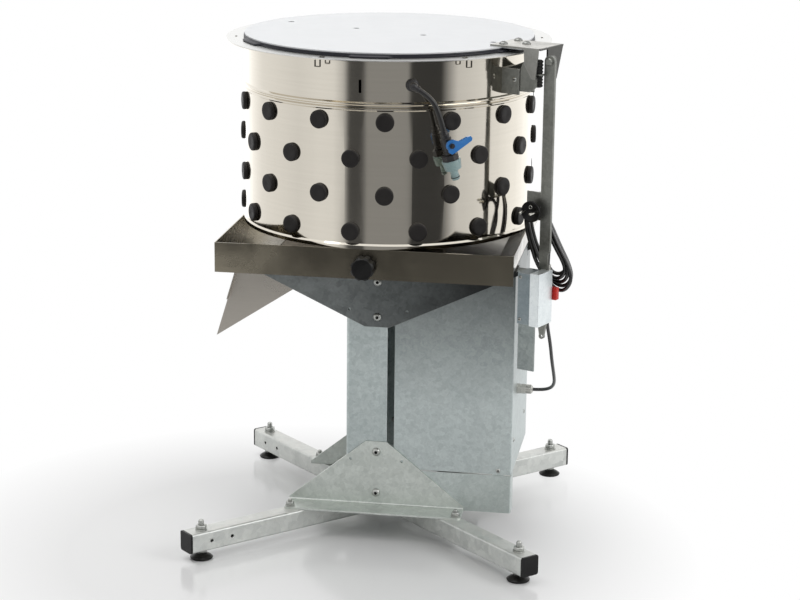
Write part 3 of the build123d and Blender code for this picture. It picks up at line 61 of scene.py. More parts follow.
def hinge_point(rho, tau, z):
    """A point in millimetres along the lid hinge's own directions, given back in metres."""
    c, s = cos(HINGE_AZIMUTH), sin(HINGE_AZIMUTH)
    return Vector((rho * c - tau * s, rho * s + tau * c, z)) / 1000.0


def drum_point(azimuth, radius, z):
    """A point in millimetres round the drum's axis, given back in metres."""
    return Vector((radius * cos(radians(azimuth)), radius * sin(radians(azimuth)), z)) / 1000.0


# Camera

CAMERA_PLACE = Vector((0.624243, -3.787549, 1.421178))
CAMERA_YAW = radians(9.01)
CAMERA_PITCH = radians(-14.84)
CAMERA_ROLL = radians(0.65)
CAMERA_LENS = 100.283


def place_camera():
    """The photograph's own view: position, aim, roll and lens."""
    level = Vector((cos(CAMERA_YAW), sin(CAMERA_YAW), 0.0))
    ahead = Vector((-sin(CAMERA_YAW), cos(CAMERA_YAW), 0.0))
    forward = ahead * cos(CAMERA_PITCH) + Vector((0.0, 0.0, sin(CAMERA_PITCH)))
    upright = level.cross(forward)
    right = level * cos(CAMERA_ROLL) + upright * sin(CAMERA_ROLL)
    up = upright * cos(CAMERA_ROLL) - level * sin(CAMERA_ROLL)
    data = bpy.data.cameras.new("photograph_camera")
    data.sensor_fit = "HORIZONTAL"
    data.sensor_width = 36.0
    data.lens = CAMERA_LENS
    data.clip_start = 0.05
    data.clip_end = 60.0
    camera = bpy.data.objects.new("photograph_camera", data)
    turn = Matrix((right, up, -forward)).transposed()
    camera.matrix_world = Matrix.Translation(CAMERA_PLACE) @ turn.to_4x4()
    bpy.context.scene.collection.objects.link(camera)
    bpy.context.scene.camera = camera


place_camera()


# Shader building

def colour(red, green, blue):
    """A colour read as 0 to 255 screen levels, turned into linear light."""
    def linear(level):
        level = level / 255.0
        return level / 12.92 if level <= 0.04045 else ((level + 0.055) / 1.055) ** 2.4
    return (linear(red), linear(green), linear(blue), 1.0)


def add(tree, kind, inputs=None, **settings):
    """Place a shader node, set its options, then give each named input a value or a link."""
    node = tree.nodes.new(kind)
    for name, value in settings.items():
        setattr(node, name, value)
    for name, value in (inputs or {}).items():
        socket = node.inputs[name]
        if isinstance(value, bpy.types.NodeSocket):
            tree.links.new(value, socket)
        else:
            socket.default_value = value
    return node


def maths(tree, operation, first, second, clamp=False):
    """Arithmetic on two values."""
    node = add(tree, "ShaderNodeMath", {0: first, 1: second}, operation=operation, use_clamp=clamp)
    return node.outputs[0]


def noise(tree, where, scale, detail, **shape):
    """Soft noise with its scale, its detail and any more of its inputs."""
    return add(tree, "ShaderNodeTexNoise", {"Vector": where, "Scale": scale, "Detail": detail, **shape})


def own_place(tree):
    """The place on the piece itself, in metres."""
    return tree.nodes.new("ShaderNodeTexCoord").outputs["Object"]


def along(tree, place, direction):
    """How far a place lies along a direction."""
    product = add(tree, "ShaderNodeVectorMath", {0: place, 1: direction}, operation="DOT_PRODUCT")
    return product.outputs["Value"]


def blend_colours(tree, mask, first, second, how="MIX"):
    """Two colours mixed by a mask."""
    node = tree.nodes.new("ShaderNodeMix")
    node.data_type = "RGBA"
    node.blend_type = how
    for index, value in ((0, mask), (6, first), (7, second)):
        if isinstance(value, bpy.types.NodeSocket):
            tree.links.new(value, node.inputs[index])
        else:
            node.inputs[index].default_value = value
    return node.outputs[2]


def spread(tree, value, low, high, out_low, out_high):
    """A value mapped from one range to another and held inside it."""
    node = add(tree, "ShaderNodeMapRange", {"Value": value, "From Min": low, "From Max": high,
                                            "To Min": out_low, "To Max": out_high})
    return node.outputs["Result"]


def effect(name, inputs, outputs):
    """A new node group with named value inputs; gives back its tree, its entry and its exit."""
    tree = bpy.data.node_groups.new(name, "ShaderNodeTree")
    for label, default in inputs.items():
        socket = tree.interface.new_socket(label, in_out="INPUT", socket_type="NodeSocketFloat")
        socket.default_value = default
    for label in outputs:
        tree.interface.new_socket(label, in_out="OUTPUT", socket_type="NodeSocketFloat")
    entry = tree.nodes.new("NodeGroupInput")
    leave = tree.nodes.new("NodeGroupOutput")
    return tree, entry.outputs, leave.inputs


def make_spangle():
    """Zinc spangle: flat crystals of uneven size, each a little lighter or darker than the next."""
    tree, given, out = effect("zinc_spangle", {"Crystals per metre": 90.0}, ["Shade", "Relief"])
    where = own_place(tree)
    drift = noise(tree, where, 60.0, 3.0)
    bent = add(tree, "ShaderNodeVectorMath", {0: drift.outputs["Color"], 1: (0.012, 0.012, 0.012)},
               operation="MULTIPLY")
    moved = add(tree, "ShaderNodeVectorMath", {0: where, 1: bent.outputs[0]}, operation="ADD")
    coarse = given["Crystals per metre"]
    fine = maths(tree, "MULTIPLY", coarse, 2.6)
    cells = add(tree, "ShaderNodeTexVoronoi", {"Vector": moved.outputs[0], "Scale": coarse})
    small = add(tree, "ShaderNodeTexVoronoi", {"Vector": moved.outputs[0], "Scale": fine})
    grey = add(tree, "ShaderNodeSeparateColor", {"Color": cells.outputs["Color"]}).outputs[0]
    speck = add(tree, "ShaderNodeSeparateColor", {"Color": small.outputs["Color"]}).outputs[1]
    cloud = noise(tree, where, 7.0, 4.0, Roughness=0.6)
    shade = maths(tree, "ADD", maths(tree, "MULTIPLY", grey, 0.26), maths(tree, "MULTIPLY", speck, 0.2))
    shade = maths(tree, "ADD", shade, maths(tree, "MULTIPLY", cloud.outputs[0], 0.54))
    tree.links.new(shade, out["Shade"])
    tree.links.new(maths(tree, "ADD", grey, speck), out["Relief"])
    return tree


def make_drawn_grain():
    """Rolling or brushing marks: noise pulled long in one direction by unlike scales on X, Y and Z."""
    plain = {"Across X": 30.0, "Across Y": 30.0, "Across Z": 900.0}
    tree, given, out = effect("drawn_grain", plain, ["Grain"])
    scale = add(tree, "ShaderNodeCombineXYZ", {axis: given["Across " + axis] for axis in "XYZ"})
    pulled = add(tree, "ShaderNodeVectorMath", {0: own_place(tree), 1: scale.outputs[0]},
                 operation="MULTIPLY")
    tree.links.new(noise(tree, pulled.outputs[0], 1.0, 3.0).outputs[0], out["Grain"])
    return tree


def make_rubbed_edges():
    """A mask of the outer edges, where handling and forming rub the surface."""
    tree, given, out = effect("rubbed_edges", {"Width": 0.0015, "Patchiness": 0.5}, ["Mask"])
    bevel = add(tree, "ShaderNodeBevel", {"Radius": given["Width"]}, samples=4)
    true_normal = tree.nodes.new("ShaderNodeNewGeometry").outputs["Normal"]
    turned = maths(tree, "SUBTRACT", 1.0, along(tree, bevel.outputs[0], true_normal))
    edge = spread(tree, turned, 0.01, 0.16, 0.0, 1.0)
    patch = noise(tree, own_place(tree), 60.0, 4.0)
    kept = maths(tree, "SUBTRACT", 1.0, maths(tree, "MULTIPLY", patch.outputs[0], given["Patchiness"]))
    tree.links.new(maths(tree, "MULTIPLY", edge, kept, clamp=True), out["Mask"])
    return tree


def make_handling():
    """Smears and fingermarks as a mask: soft noise, a little bent."""
    tree, given, out = effect("handling_marks", {"Size per metre": 14.0}, ["Mask"])
    smear = noise(tree, own_place(tree), given["Size per metre"], 5.0, Roughness=0.62, Distortion=0.6)
    tree.links.new(spread(tree, smear.outputs[0], 0.36, 0.68, 0.0, 1.0), out["Mask"])
    return tree


def make_upward_dust_and_light():
    """Dust that settles on faces turned upwards, thicker in some places; in large amounts the same pale mask
    is painted light on the top faces.
    """
    tree, given, out = effect("upward_dust_and_light_mask", {"Amount": 0.3}, ["Mask"])
    normal = tree.nodes.new("ShaderNodeNewGeometry").outputs["Normal"]
    upward = add(tree, "ShaderNodeSeparateXYZ", {"Vector": normal}).outputs["Z"]
    lying = spread(tree, upward, 0.35, 0.95, 0.0, 1.0)
    patch = noise(tree, own_place(tree), 24.0, 6.0, Roughness=0.7)
    thick = spread(tree, patch.outputs[0], 0.35, 0.7, 0.15, 1.0)
    mask = maths(tree, "MULTIPLY", maths(tree, "MULTIPLY", lying, thick), given["Amount"], clamp=True)
    tree.links.new(mask, out["Mask"])
    return tree


def make_moulded_skin():
    """The fine spark-eroded skin of a moulded or cast surface."""
    tree, given, out = effect("moulded_skin", {"Grain per metre": 1400.0}, ["Relief"])
    where = own_place(tree)
    grain = noise(tree, where, given["Grain per metre"], 3.0)
    cells = add(tree, "ShaderNodeTexVoronoi", {"Vector": where, "Scale": given["Grain per metre"]})
    tree.links.new(maths(tree, "ADD", grain.outputs[0], cells.outputs["Distance"]), out["Relief"])
    return tree


SPANGLE = make_spangle()
DRAWN_GRAIN = make_drawn_grain()
RUBBED_EDGES = make_rubbed_edges()
HANDLING = make_handling()
UPWARD_DUST_AND_LIGHT = make_upward_dust_and_light()
MOULDED_SKIN = make_moulded_skin()


def use(tree, group, **values):
    """Place an effect group; values are its inputs, with spaces written as underscores."""
    node = tree.nodes.new("ShaderNodeGroup")
    node.node_tree = group
    for name, value in values.items():
        node.inputs[name.replace("_", " ")].default_value = value
    return node.outputs


FINISHES = {}


def new_material(name):
    """A finish of this name, with one Principled shader on its output: gives back its tree and its inputs."""
    material = bpy.data.materials.new(name)
    FINISHES[name] = material
    material.use_nodes = True
    tree = material.node_tree
    tree.nodes.clear()
    shader = tree.nodes.new("ShaderNodeBsdfPrincipled")
    output = tree.nodes.new("ShaderNodeOutputMaterial")
    tree.links.new(shader.outputs[0], output.inputs["Surface"])
    return tree, shader.inputs


def connect(tree, value, socket):
    """Link a socket to a changing value, or write a plain one on it."""
    if isinstance(value, bpy.types.NodeSocket):
        tree.links.new(value, socket)
    else:
        socket.default_value = value


def relief(tree, height, distance, strength):
    """A bumped normal: the height that a value of 1 stands for in metres, and its share."""
    node = add(tree, "ShaderNodeBump", {"Height": height, "Distance": distance, "Strength": strength})
    return node.outputs["Normal"]


def paint_shade_along(tree, body, shade):
    """Paint shade into a colour: darken it along a direction, between two distances from the machine's foot,
    down to a tone.
    """
    direction, start, stop, tone = shade
    share = spread(tree, along(tree, own_place(tree), direction), start, stop, 0.0, 1.0)
    return blend_colours(tree, share, body, (tone, tone, tone, 1.0), how="MULTIPLY")


ZINC_GLOSS = (0.34, 0.5)
PALE_OXIDE = colour(206, 210, 208)
PALE_DUST_AND_TOP_LIGHT = colour(218, 216, 210)
PLASTIC_DUST = colour(178, 174, 166)
PLATING_DUST = colour(180, 176, 168)
BRIGHT_PLATING = colour(228, 228, 224)
RIM_COLOUR = colour(208, 208, 206)
RIM_GLOSS = 0.36
SMEAR_SHARE = 0.88


def galvanised(name, dark, light, edge, crystals=90.0, dust_and_top_light=0.12, shade=None):
    """Galvanised steel: soft cloudy zinc with faint crystals, pale oxide, a pale dusting on top that, in
    large amounts, is also painted light on the top faces, bright edges, and painted shade along a direction
    where one is given.
    """
    tree, shader = new_material(name)
    spangle = use(tree, SPANGLE, Crystals_per_metre=crystals)
    handling = use(tree, HANDLING, Size_per_metre=9.0)["Mask"]
    body = blend_colours(tree, spread(tree, spangle["Shade"], 0.25, 0.75, 0.0, 1.0), dark, light)
    oxide = blend_colours(tree, maths(tree, "MULTIPLY", handling, 0.12), body, PALE_OXIDE)
    edges = use(tree, RUBBED_EDGES, Width=0.0016, Patchiness=0.6)["Mask"]
    shown = blend_colours(tree, maths(tree, "MULTIPLY", edges, 0.6), oxide, edge)
    # Pale dusting on upward faces; where its amount is large it is painted light on the tops.
    top_light_and_dust_mask = use(tree, UPWARD_DUST_AND_LIGHT, Amount=dust_and_top_light)["Mask"]
    shown = blend_colours(tree, top_light_and_dust_mask, shown, PALE_DUST_AND_TOP_LIGHT)
    # Painted shade: the colour is darkened along a direction to stand in for shadow and dark reflections.
    if shade:
        shown = paint_shade_along(tree, shown, shade)
    connect(tree, shown, shader["Base Color"])
    connect(tree, spread(tree, top_light_and_dust_mask, 0.0, 1.0, 0.82, 0.2), shader["Metallic"])
    crystal_share = maths(tree, "MULTIPLY", spangle["Shade"], 0.6)
    tone = maths(tree, "ADD", crystal_share, maths(tree, "MULTIPLY", handling, 0.4))
    connect(tree, spread(tree, tone, 0.1, 0.9, *ZINC_GLOSS), shader["Roughness"])
    connect(tree, relief(tree, spangle["Relief"], 0.00003, 0.4), shader["Normal"])


def stainless(name, tint, rough, grain_axes, dull_above=None, shade=None):
    """Stainless steel: a faint grain along the sheet, smears in its gloss, a duller rim if given, and painted
    shade along a direction if given.
    """
    tree, shader = new_material(name)
    across_x, across_y, across_z = grain_axes
    grain = use(tree, DRAWN_GRAIN, Across_X=across_x, Across_Y=across_y, Across_Z=across_z)["Grain"]
    handling = use(tree, HANDLING, Size_per_metre=7.0)["Mask"]
    deeper = tuple(level * 0.96 for level in tint[:3]) + (1.0,)
    body = blend_colours(tree, spread(tree, grain, 0.25, 0.75, 0.0, 1.0), deeper, tint)
    # Painted shade: the colour is darkened along a direction to stand in for dark reflections.
    if shade:
        body = paint_shade_along(tree, body, shade)
    smears = maths(tree, "MULTIPLY", handling, SMEAR_SHARE)
    smeared = maths(tree, "ADD", maths(tree, "MULTIPLY", grain, 1.0 - SMEAR_SHARE), smears)
    gloss = spread(tree, smeared, 0.1, 0.9, *rough)
    if dull_above:
        height = add(tree, "ShaderNodeSeparateXYZ", {"Vector": own_place(tree)}).outputs["Z"]
        rim = spread(tree, height, dull_above, dull_above + 0.0005, 0.0, 1.0)
        gloss = maths(tree, "MAXIMUM", gloss, maths(tree, "MULTIPLY", rim, RIM_GLOSS))
        body = blend_colours(tree, rim, body, RIM_COLOUR)
    connect(tree, body, shader["Base Color"])
    shader["Metallic"].default_value = 1.0
    connect(tree, gloss, shader["Roughness"])
    connect(tree, relief(tree, grain, 0.000004, 0.3), shader["Normal"])


def moulded(name, body, worn, rough, grain=1400.0, depth=0.00004, dust_and_top_light=0.06, coat=0.0, sheen=0.3):
    """A moulded plastic or rubber: fine skin, scuffed edges, a trace of dust on top."""
    tree, shader = new_material(name)
    handling = use(tree, HANDLING, Size_per_metre=30.0)["Mask"]
    paler = blend_colours(tree, maths(tree, "MULTIPLY", handling, 0.22), body, worn)
    edges = use(tree, RUBBED_EDGES, Width=0.0009, Patchiness=0.7)["Mask"]
    shown = blend_colours(tree, maths(tree, "MULTIPLY", edges, 0.5), paler, worn)
    shown = blend_colours(tree, use(tree, UPWARD_DUST_AND_LIGHT, Amount=dust_and_top_light)["Mask"], shown, PLASTIC_DUST)
    connect(tree, shown, shader["Base Color"])
    connect(tree, spread(tree, handling, 0.0, 1.0, *rough), shader["Roughness"])
    skin = use(tree, MOULDED_SKIN, Grain_per_metre=grain)["Relief"]
    connect(tree, relief(tree, skin, depth, 0.5), shader["Normal"])
    shader["Coat Weight"].default_value = coat
    shader["Coat Roughness"].default_value = 0.2
    shader["Specular IOR Level"].default_value = sheen


def plated(name, tint, rough, dust_and_top_light=0.1):
    """Zinc-plated or turned steel: bright, with faint turning marks, brighter edges and a little dust."""
    tree, shader = new_material(name)
    grain = use(tree, DRAWN_GRAIN, Across_X=900.0, Across_Y=900.0, Across_Z=900.0)["Grain"]
    edges = use(tree, RUBBED_EDGES, Width=0.0006, Patchiness=0.4)["Mask"]
    darker = tuple(level * 0.6 for level in tint[:3]) + (1.0,)
    body = blend_colours(tree, spread(tree, grain, 0.3, 0.7, 0.0, 1.0), darker, tint)
    body = blend_colours(tree, edges, body, BRIGHT_PLATING)
    body = blend_colours(tree, use(tree, UPWARD_DUST_AND_LIGHT, Amount=dust_and_top_light)["Mask"], body, PLATING_DUST)
    connect(tree, body, shader["Base Color"])
    shader["Metallic"].default_value = 1.0
    connect(tree, spread(tree, grain, 0.25, 0.75, *rough), shader["Roughness"])
    connect(tree, relief(tree, grain, 0.00003, 0.5), shader["Normal"])


# The finishes: zinc, then polished steel, plated steel, and moulded plastic, rubber and paint

PALE_EDGE = colour(226, 230, 228)
TOWARDS_RIGHT = (1.0, 0.0, 0.0)
UPWARDS = (0.0, 0.0, 1.0)
TOWARDS_HINGE = (cos(HINGE_AZIMUTH), sin(HINGE_AZIMUTH), 0.0)
ROUND_THE_DRUM = (6.0, 6.0, 260.0)
ALONG_THE_SHEET = (12.0, 12.0, 300.0)
ALONG_THE_CLIP = (200.0, 200.0, 20.0)
ACROSS_THE_PLATE = (260.0, 260.0, 20.0)
RIM_HEIGHT = (DRUM_TOP - DRUM_WALL) / 1000.0

# A large dusting amount: partly real, partly painted light on the tubes' top faces.
galvanised("tube_zinc", colour(184, 187, 184), colour(216, 218, 214), colour(236, 236, 232), 46.0,
           dust_and_top_light=0.6)
galvanised("sheet_zinc", colour(168, 178, 178), colour(196, 205, 204), PALE_EDGE, 130.0)
# Painted shadow: the casing darkens towards its top, where the tray's overhang shades it.
galvanised("casing_zinc_painted_shadow", colour(172, 181, 181), colour(198, 207, 206), PALE_EDGE, 130.0,
           shade=(UPWARDS, 0.24, 0.49, 0.26))
galvanised("panel_zinc", colour(174, 184, 182), colour(200, 208, 206), PALE_EDGE, 130.0)
galvanised("plate_zinc", colour(186, 192, 187), colour(214, 219, 214), colour(234, 236, 232))
# Painted shade: a dark base for the gussets and bearing plate in the tray's shadow, darkened further towards
# the right as a painted dark reflection.
galvanised("head_zinc_painted_shade", colour(92, 96, 96), colour(118, 123, 123), colour(196, 198, 194),
           shade=(TOWARDS_RIGHT, -0.08, 0.18, 0.14))
galvanised("bracket_zinc", colour(116, 124, 124), colour(150, 158, 156), colour(206, 208, 204))
# Painted shade: a darker base stands in for the dark surroundings that the post, hinge support and pivot bolt
# reflect.
galvanised("bar_zinc_painted_shade", colour(104, 105, 100), colour(128, 129, 123), colour(196, 196, 190), 120.0)
# Painted light and shade: the full dusting amount paints the bracket's top plate pale, and the shade darkens
# its outer flange past the hinge line as a painted dark reflection.
galvanised("hinge_zinc_painted_shade_and_light", colour(124, 123, 118), colour(144, 143, 138), colour(204, 204, 199), 120.0,
           dust_and_top_light=1.0, shade=(TOWARDS_HINGE, 0.3192, 0.3196, 0.3))
# Painted light and shade: the box body is a darker copy of the same zinc and its cover a lighter one,
# standing in for how light falls on each face.
galvanised("box_zinc_painted_shade", colour(112, 123, 128), colour(132, 143, 147), colour(214, 218, 217), 140.0)
galvanised("cover_zinc_painted_light", colour(214, 221, 223), colour(232, 238, 239), colour(244, 246, 246), 140.0)
stainless("drum_steel", colour(216, 210, 198), (0.06, 0.12), ROUND_THE_DRUM, dull_above=RIM_HEIGHT)
# Painted shade: the tray darkens towards the right, standing in for the dark room it reflects.
stainless("tray_steel_painted_shade", colour(176, 168, 150), (0.18, 0.3), ALONG_THE_SHEET,
          shade=(TOWARDS_RIGHT, -0.26, -0.02, 0.42))
stainless("chute_steel", colour(176, 171, 163), (0.2, 0.34), ALONG_THE_SHEET)
stainless("clip_steel", colour(84, 81, 76), (0.2, 0.34), ALONG_THE_CLIP)
stainless("rotor_aluminium", colour(206, 206, 202), (0.24, 0.42), ACROSS_THE_PLATE)
plated("machined", colour(176, 176, 172), (0.2, 0.4))
plated("zinc_screws", colour(190, 192, 188), (0.26, 0.46))
plated("dull_screws", colour(142, 143, 140), (0.3, 0.46))
plated("gland_nickel", colour(206, 206, 200), (0.3, 0.44), 0.2)
plated("plug_pins", colour(214, 212, 204), (0.14, 0.3), 0.0)
moulded("cast", colour(98, 100, 99), colour(160, 160, 156), (0.45, 0.7), 900.0, 0.0001)
moulded("motor_paint", colour(56, 66, 74), colour(120, 124, 124), (0.35, 0.5), 1100.0)
moulded("finger_rubber", colour(19, 16, 15), colour(48, 44, 41), (0.48, 0.66), 1500.0)
moulded("seal_rubber", colour(24, 25, 34), colour(60, 60, 68), (0.36, 0.5), 1200.0, dust_and_top_light=0.04)
moulded("black_rubber", colour(18, 18, 18), colour(52, 51, 50), (0.45, 0.65), 1200.0)
moulded("black_plastic", colour(11, 11, 11), colour(48, 48, 47), (0.28, 0.44), 1300.0, sheen=0.2)
# Painted shade: black for the shade inside screw sockets and the plug's earth hole.
moulded("socket_painted_shade", colour(12, 12, 12), colour(30, 30, 30), (0.6, 0.8), 1300.0, dust_and_top_light=0.0)
moulded("cable_skin", colour(15, 15, 16), colour(50, 50, 50), (0.26, 0.4), 1600.0, coat=0.7, sheen=0.5)
moulded("hose_skin", colour(18, 18, 18), colour(56, 56, 55), (0.32, 0.46), 1200.0, sheen=0.5)
moulded("lid_sheet", colour(212, 214, 216), colour(216, 217, 218), (0.3, 0.36), 500.0, 0.000001, 0.0)
moulded("grey_plastic", colour(48, 49, 50), colour(92, 92, 92), (0.35, 0.5))
moulded("red_plastic", colour(190, 30, 22), colour(226, 110, 94), (0.28, 0.42), dust_and_top_light=0.03)
moulded("valve_skin", colour(26, 25, 28), colour(72, 70, 70), (0.32, 0.5), sheen=0.5)
moulded("lever_blue", colour(36, 112, 186), colour(120, 170, 214), (0.28, 0.42), dust_and_top_light=0.02, coat=0.3)
moulded("connector_teal", colour(136, 160, 160), colour(190, 204, 203), (0.24, 0.38), dust_and_top_light=0.02,
        coat=0.3)

NODE_FINISH = {
    "tube_zinc": ["base_cross_tube", "base_short_arms"],
    "plate_zinc": ["base_gusset_front", "base_gusset_back"],
    "head_zinc_painted_shade": ["head_gusset_front", "head_gusset_back", "bearing_plate"],
    "bracket_zinc": ["post_bracket"],
    "sheet_zinc": ["column", "motor_plate"],
    "casing_zinc_painted_shadow": ["casing_cover"],
    "panel_zinc": ["casing_lower_panel"],
    "box_zinc_painted_shade": ["switch_box"],
    "cover_zinc_painted_light": ["switch_box_cover"],
    "bar_zinc_painted_shade": ["lid_post", "hinge_support", "pivot_bolt"],
    "hinge_zinc_painted_shade_and_light": ["lid_bracket"],
    "drum_steel": ["drum_shell"],
    "clip_steel": ["rim_clips"],
    "tray_steel_painted_shade": ["collection_tray"],
    "chute_steel": ["feather_chute"],
    "rotor_aluminium": ["rotor_plate"],
    "machined": ["rotor_shaft", "motor_shaft", "drive_pulley", "driven_pulley", "shaft_bearings",
                 "rotor_nut"],
    "cast": ["bearing_housings"],
    "motor_paint": ["motor_body"],
    "black_rubber": ["drive_belt", "bump_stop"],
    "black_plastic": ["tube_end_caps", "tray_knob"],
    "gland_nickel": ["cable_glands"],
    "grey_plastic": ["switch_body"],
    "red_plastic": ["stop_button"],
    "lid_sheet": ["lid_panel"],
    "valve_skin": ["valve_body"],
    "lever_blue": ["valve_lever"],
}


def finish_nodes():
    """Give each CAD node that stays in sight its finish."""
    for finish, names in NODE_FINISH.items():
        for name in names:
            data = NODES[name].data
            data.materials.clear()
            data.materials.append(FINISHES[finish])


finish_nodes()


# Turned and pressed pieces

MILLIMETRE = Matrix.Scale(0.001, 4)
CREASE = radians(32.0)


def machine_point(x, y, z):
    """A point in millimetres along the machine's own axes, given back in metres."""
    return Vector((x, y, z)) / 1000.0


def aim_z(point, direction):
    """A place whose local Z runs along a direction, its sizes in millimetres."""
    turn = Vector(direction).to_track_quat("Z", "Y").to_matrix().to_4x4()
    return Matrix.Translation(point) @ turn @ MILLIMETRE


def outline_reach(radius, flats, angle):
    """How far a round outline, or one with flats, reaches at an angle."""
    if not flats:
        return radius
    step = 2 * pi / flats
    return radius / cos((angle + step / 2) % step - step / 2)


def turn_on(mesh, rings, place, sides=24, material=0):
    """Add one closed turned piece: rings of (height, radius), or (height, half width, number of flats)."""
    loops = []
    for height, radius, *flats in rings:
        if radius == 0.0:
            loops.append([mesh.verts.new(place @ Vector((0.0, 0.0, height)))])
            continue
        loop = []
        for side in range(sides):
            angle = 2 * pi * side / sides
            reach = outline_reach(radius, flats[0] if flats else 0, angle)
            loop.append(mesh.verts.new(place @ Vector((reach * cos(angle), reach * sin(angle), height))))
        loops.append(loop)
    for low, high in zip(loops, loops[1:]):
        for side in range(sides):
            after = (side + 1) % sides
            corners = [loop[corner % len(loop)] for loop, corner in
                       ((low, side), (low, after), (high, after), (high, side))]
            face = mesh.faces.new(list(dict.fromkeys(corners)))
            face.smooth = True
            face.material_index = material


def make_piece(name, mesh, finishes, body, node):
    """Turn a finished bmesh into a piece on a body, in place of the node it stands for."""
    for edge in mesh.edges:
        if len(edge.link_faces) == 2 and edge.calc_face_angle(0.0) > CREASE:
            edge.smooth = False
    data = bpy.data.meshes.new(name)
    mesh.to_mesh(data)
    mesh.free()
    for finish in finishes:
        data.materials.append(FINISHES[finish])
    piece = bpy.data.objects.new(name, data)
    bpy.context.scene.collection.objects.link(piece)
    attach(piece, body)
    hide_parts(node)
    return piece


def thread_rings(radius, low, high, pitch=1.25):
    """Rings of a screw thread's crests and roots between two heights."""
    root = radius - 0.12 * pitch - 0.3
    rings = []
    for turn in range(int((high - low) / pitch)):
        base = low + turn * pitch
        rings += [(base + 0.3 * pitch, root), (base + 0.8 * pitch, radius)]
    return rings


def washer_rings(bore, radius, low):
    """A plain washer with its upper edge rubbed round."""
    top = low + 1.8
    return [(low, bore), (low, radius), (low + 1.6, radius), (top, radius - 0.3), (top, bore)]


def nut_rings(half, bores, low, high, bevels, crown):
    """A hexagon nut whose corners are turned off at both faces: its bores, bevels and crown's share."""
    return [(low, bores[0]), (low, half * 0.97), (low + bevels[0], half, 6), (high - bevels[1], half, 6),
            (high, half * crown), (high, bores[1])]


# Fingers

FINGER_LENGTH = 84.0
FINGER_NECK = 10.4
FINGER_TIP = 6.5
FINGER_RIB_PITCH = 6.0
FINGER_RIB = 1.0
FINGER_COLLAR = 13.0
FINGER_COLLAR_ROOM = 16.0
FINGER_HEAD = 15.5
FINGER_HEAD_THICK = 7.0


def finger_rings(sheet):
    """One plucking finger along Z: ribbed taper, collar behind the sheet, neck in its hole, round head."""
    tip = -FINGER_LENGTH
    rings = [(tip, 0.0), (tip, 3.6), (tip + 1.2, 5.6), (tip + 3.0, FINGER_TIP)]
    height = tip + FINGER_RIB_PITCH
    while height < -sheet - FINGER_COLLAR_ROOM:
        core = FINGER_TIP + (FINGER_NECK - FINGER_TIP) * (height - tip) / FINGER_LENGTH - 0.5
        rib = core + FINGER_RIB
        rings += [(height, core), (height + 1.2, rib), (height + 3.0, rib), (height + 4.2, core)]
        height += FINGER_RIB_PITCH
    inside = -sheet - 0.1
    rings += [(-sheet - 9.0, 9.9), (-sheet - 4.5, FINGER_COLLAR - 1.0), (-sheet - 0.8, FINGER_COLLAR),
              (inside, FINGER_COLLAR - 0.2), (inside, FINGER_NECK), (0.05, FINGER_NECK)]
    top = FINGER_HEAD_THICK
    rings += [(0.05, FINGER_HEAD - 0.5), (0.8, FINGER_HEAD), (top - 2.4, FINGER_HEAD - 0.1),
              (top - 1.0, FINGER_HEAD - 0.7), (top - 0.2, FINGER_HEAD - 1.8), (top, FINGER_HEAD - 3.1)]
    return rings + [(top - 0.2, 6.0), (top - 0.6, 3.2), (top - 0.6, 0.0)]


def make_drum_fingers():
    """Staggered rows of fingers through the drum's wall, their heads outside."""
    mesh = bmesh.new()
    rings = finger_rings(DRUM_WALL)
    step = 360.0 / FINGERS_PER_ROW
    for row, height in enumerate(FINGER_ROWS):
        stagger = step / 2 if row % 2 else 0.0
        for index in range(FINGERS_PER_ROW):
            azimuth = FIRST_FINGER + stagger + step * index
            outwards = Vector((cos(radians(azimuth)), sin(radians(azimuth)), 0.0))
            turn_on(mesh, rings, aim_z(drum_point(azimuth, DRUM_RADIUS, height), outwards))
    make_piece("plucking_fingers", mesh, ["finger_rubber"], "frame", "drum_fingers")


def make_floor_fingers():
    """Fingers that stand up through the turning plate, their heads under it."""
    mesh = bmesh.new()
    rings = finger_rings(ROTOR_PLATE)
    for radius, count in ROTOR_RINGS:
        for index in range(count):
            azimuth = ROTOR_FIRST + 360.0 * index / count
            turn_on(mesh, rings, aim_z(drum_point(azimuth, radius, ROTOR_Z), (0.0, 0.0, -1.0)))
    make_piece("floor_fingers", mesh, ["finger_rubber"], "rotor", "rotor_fingers")


# Screws, nuts and feet

# A round head's radius and height, and its shank's radius and depth
PLATE_SCREW = (7.5, 4.5, 4.0, 12.0)
SHORT_PLATE_SCREW = (7.5, 4.5, 4.0, 6.0)
LID_SCREW = (7.5, 4.5, 4.0, 5.0)
SHEET_SCREW = (4.2, 1.8, 2.0, 4.0)
BOX_SCREW = (3.2, 1.6, 1.8, 4.0)
SOCKET = 0.36


def add_button_screw(mesh, place, size):
    """A screw with a low round head, its seat at zero, and the hexagon socket in it, painted black for the
    shade in its hollow.
    """
    radius, head, shank, depth = size
    turn_on(mesh, [(-depth, 0.0), (-depth, shank), (0.0, shank), (0.0, radius), (0.22 * head, radius),
                   (0.55 * head, 0.88 * radius), (0.85 * head, 0.66 * radius), (head, 0.48 * radius),
                   (head, SOCKET * radius, 6)], place)
    # The socket's hollow takes the second finish, black as painted shade.
    turn_on(mesh, [(head, SOCKET * radius, 6), (0.35 * head, 0.35 * radius, 6), (0.3 * head, 0.0)], place,
            material=1)


FLANGE_NUT = 6.5


def add_flange_bolt(mesh, place):
    """Washer, nut and the threaded end that stands up through it."""
    turn_on(mesh, washer_rings(4.2, 8.4, 0.0), place)
    turn_on(mesh, nut_rings(FLANGE_NUT, (4.0, 3.8), 1.8, 8.3, (0.7, 0.7), 0.95), place)
    turn_on(mesh, [(8.0, 0.0), (8.0, 3.6)] + thread_rings(3.9, 8.0, 12.0) + [(12.5, 2.9), (12.5, 0.0)], place)


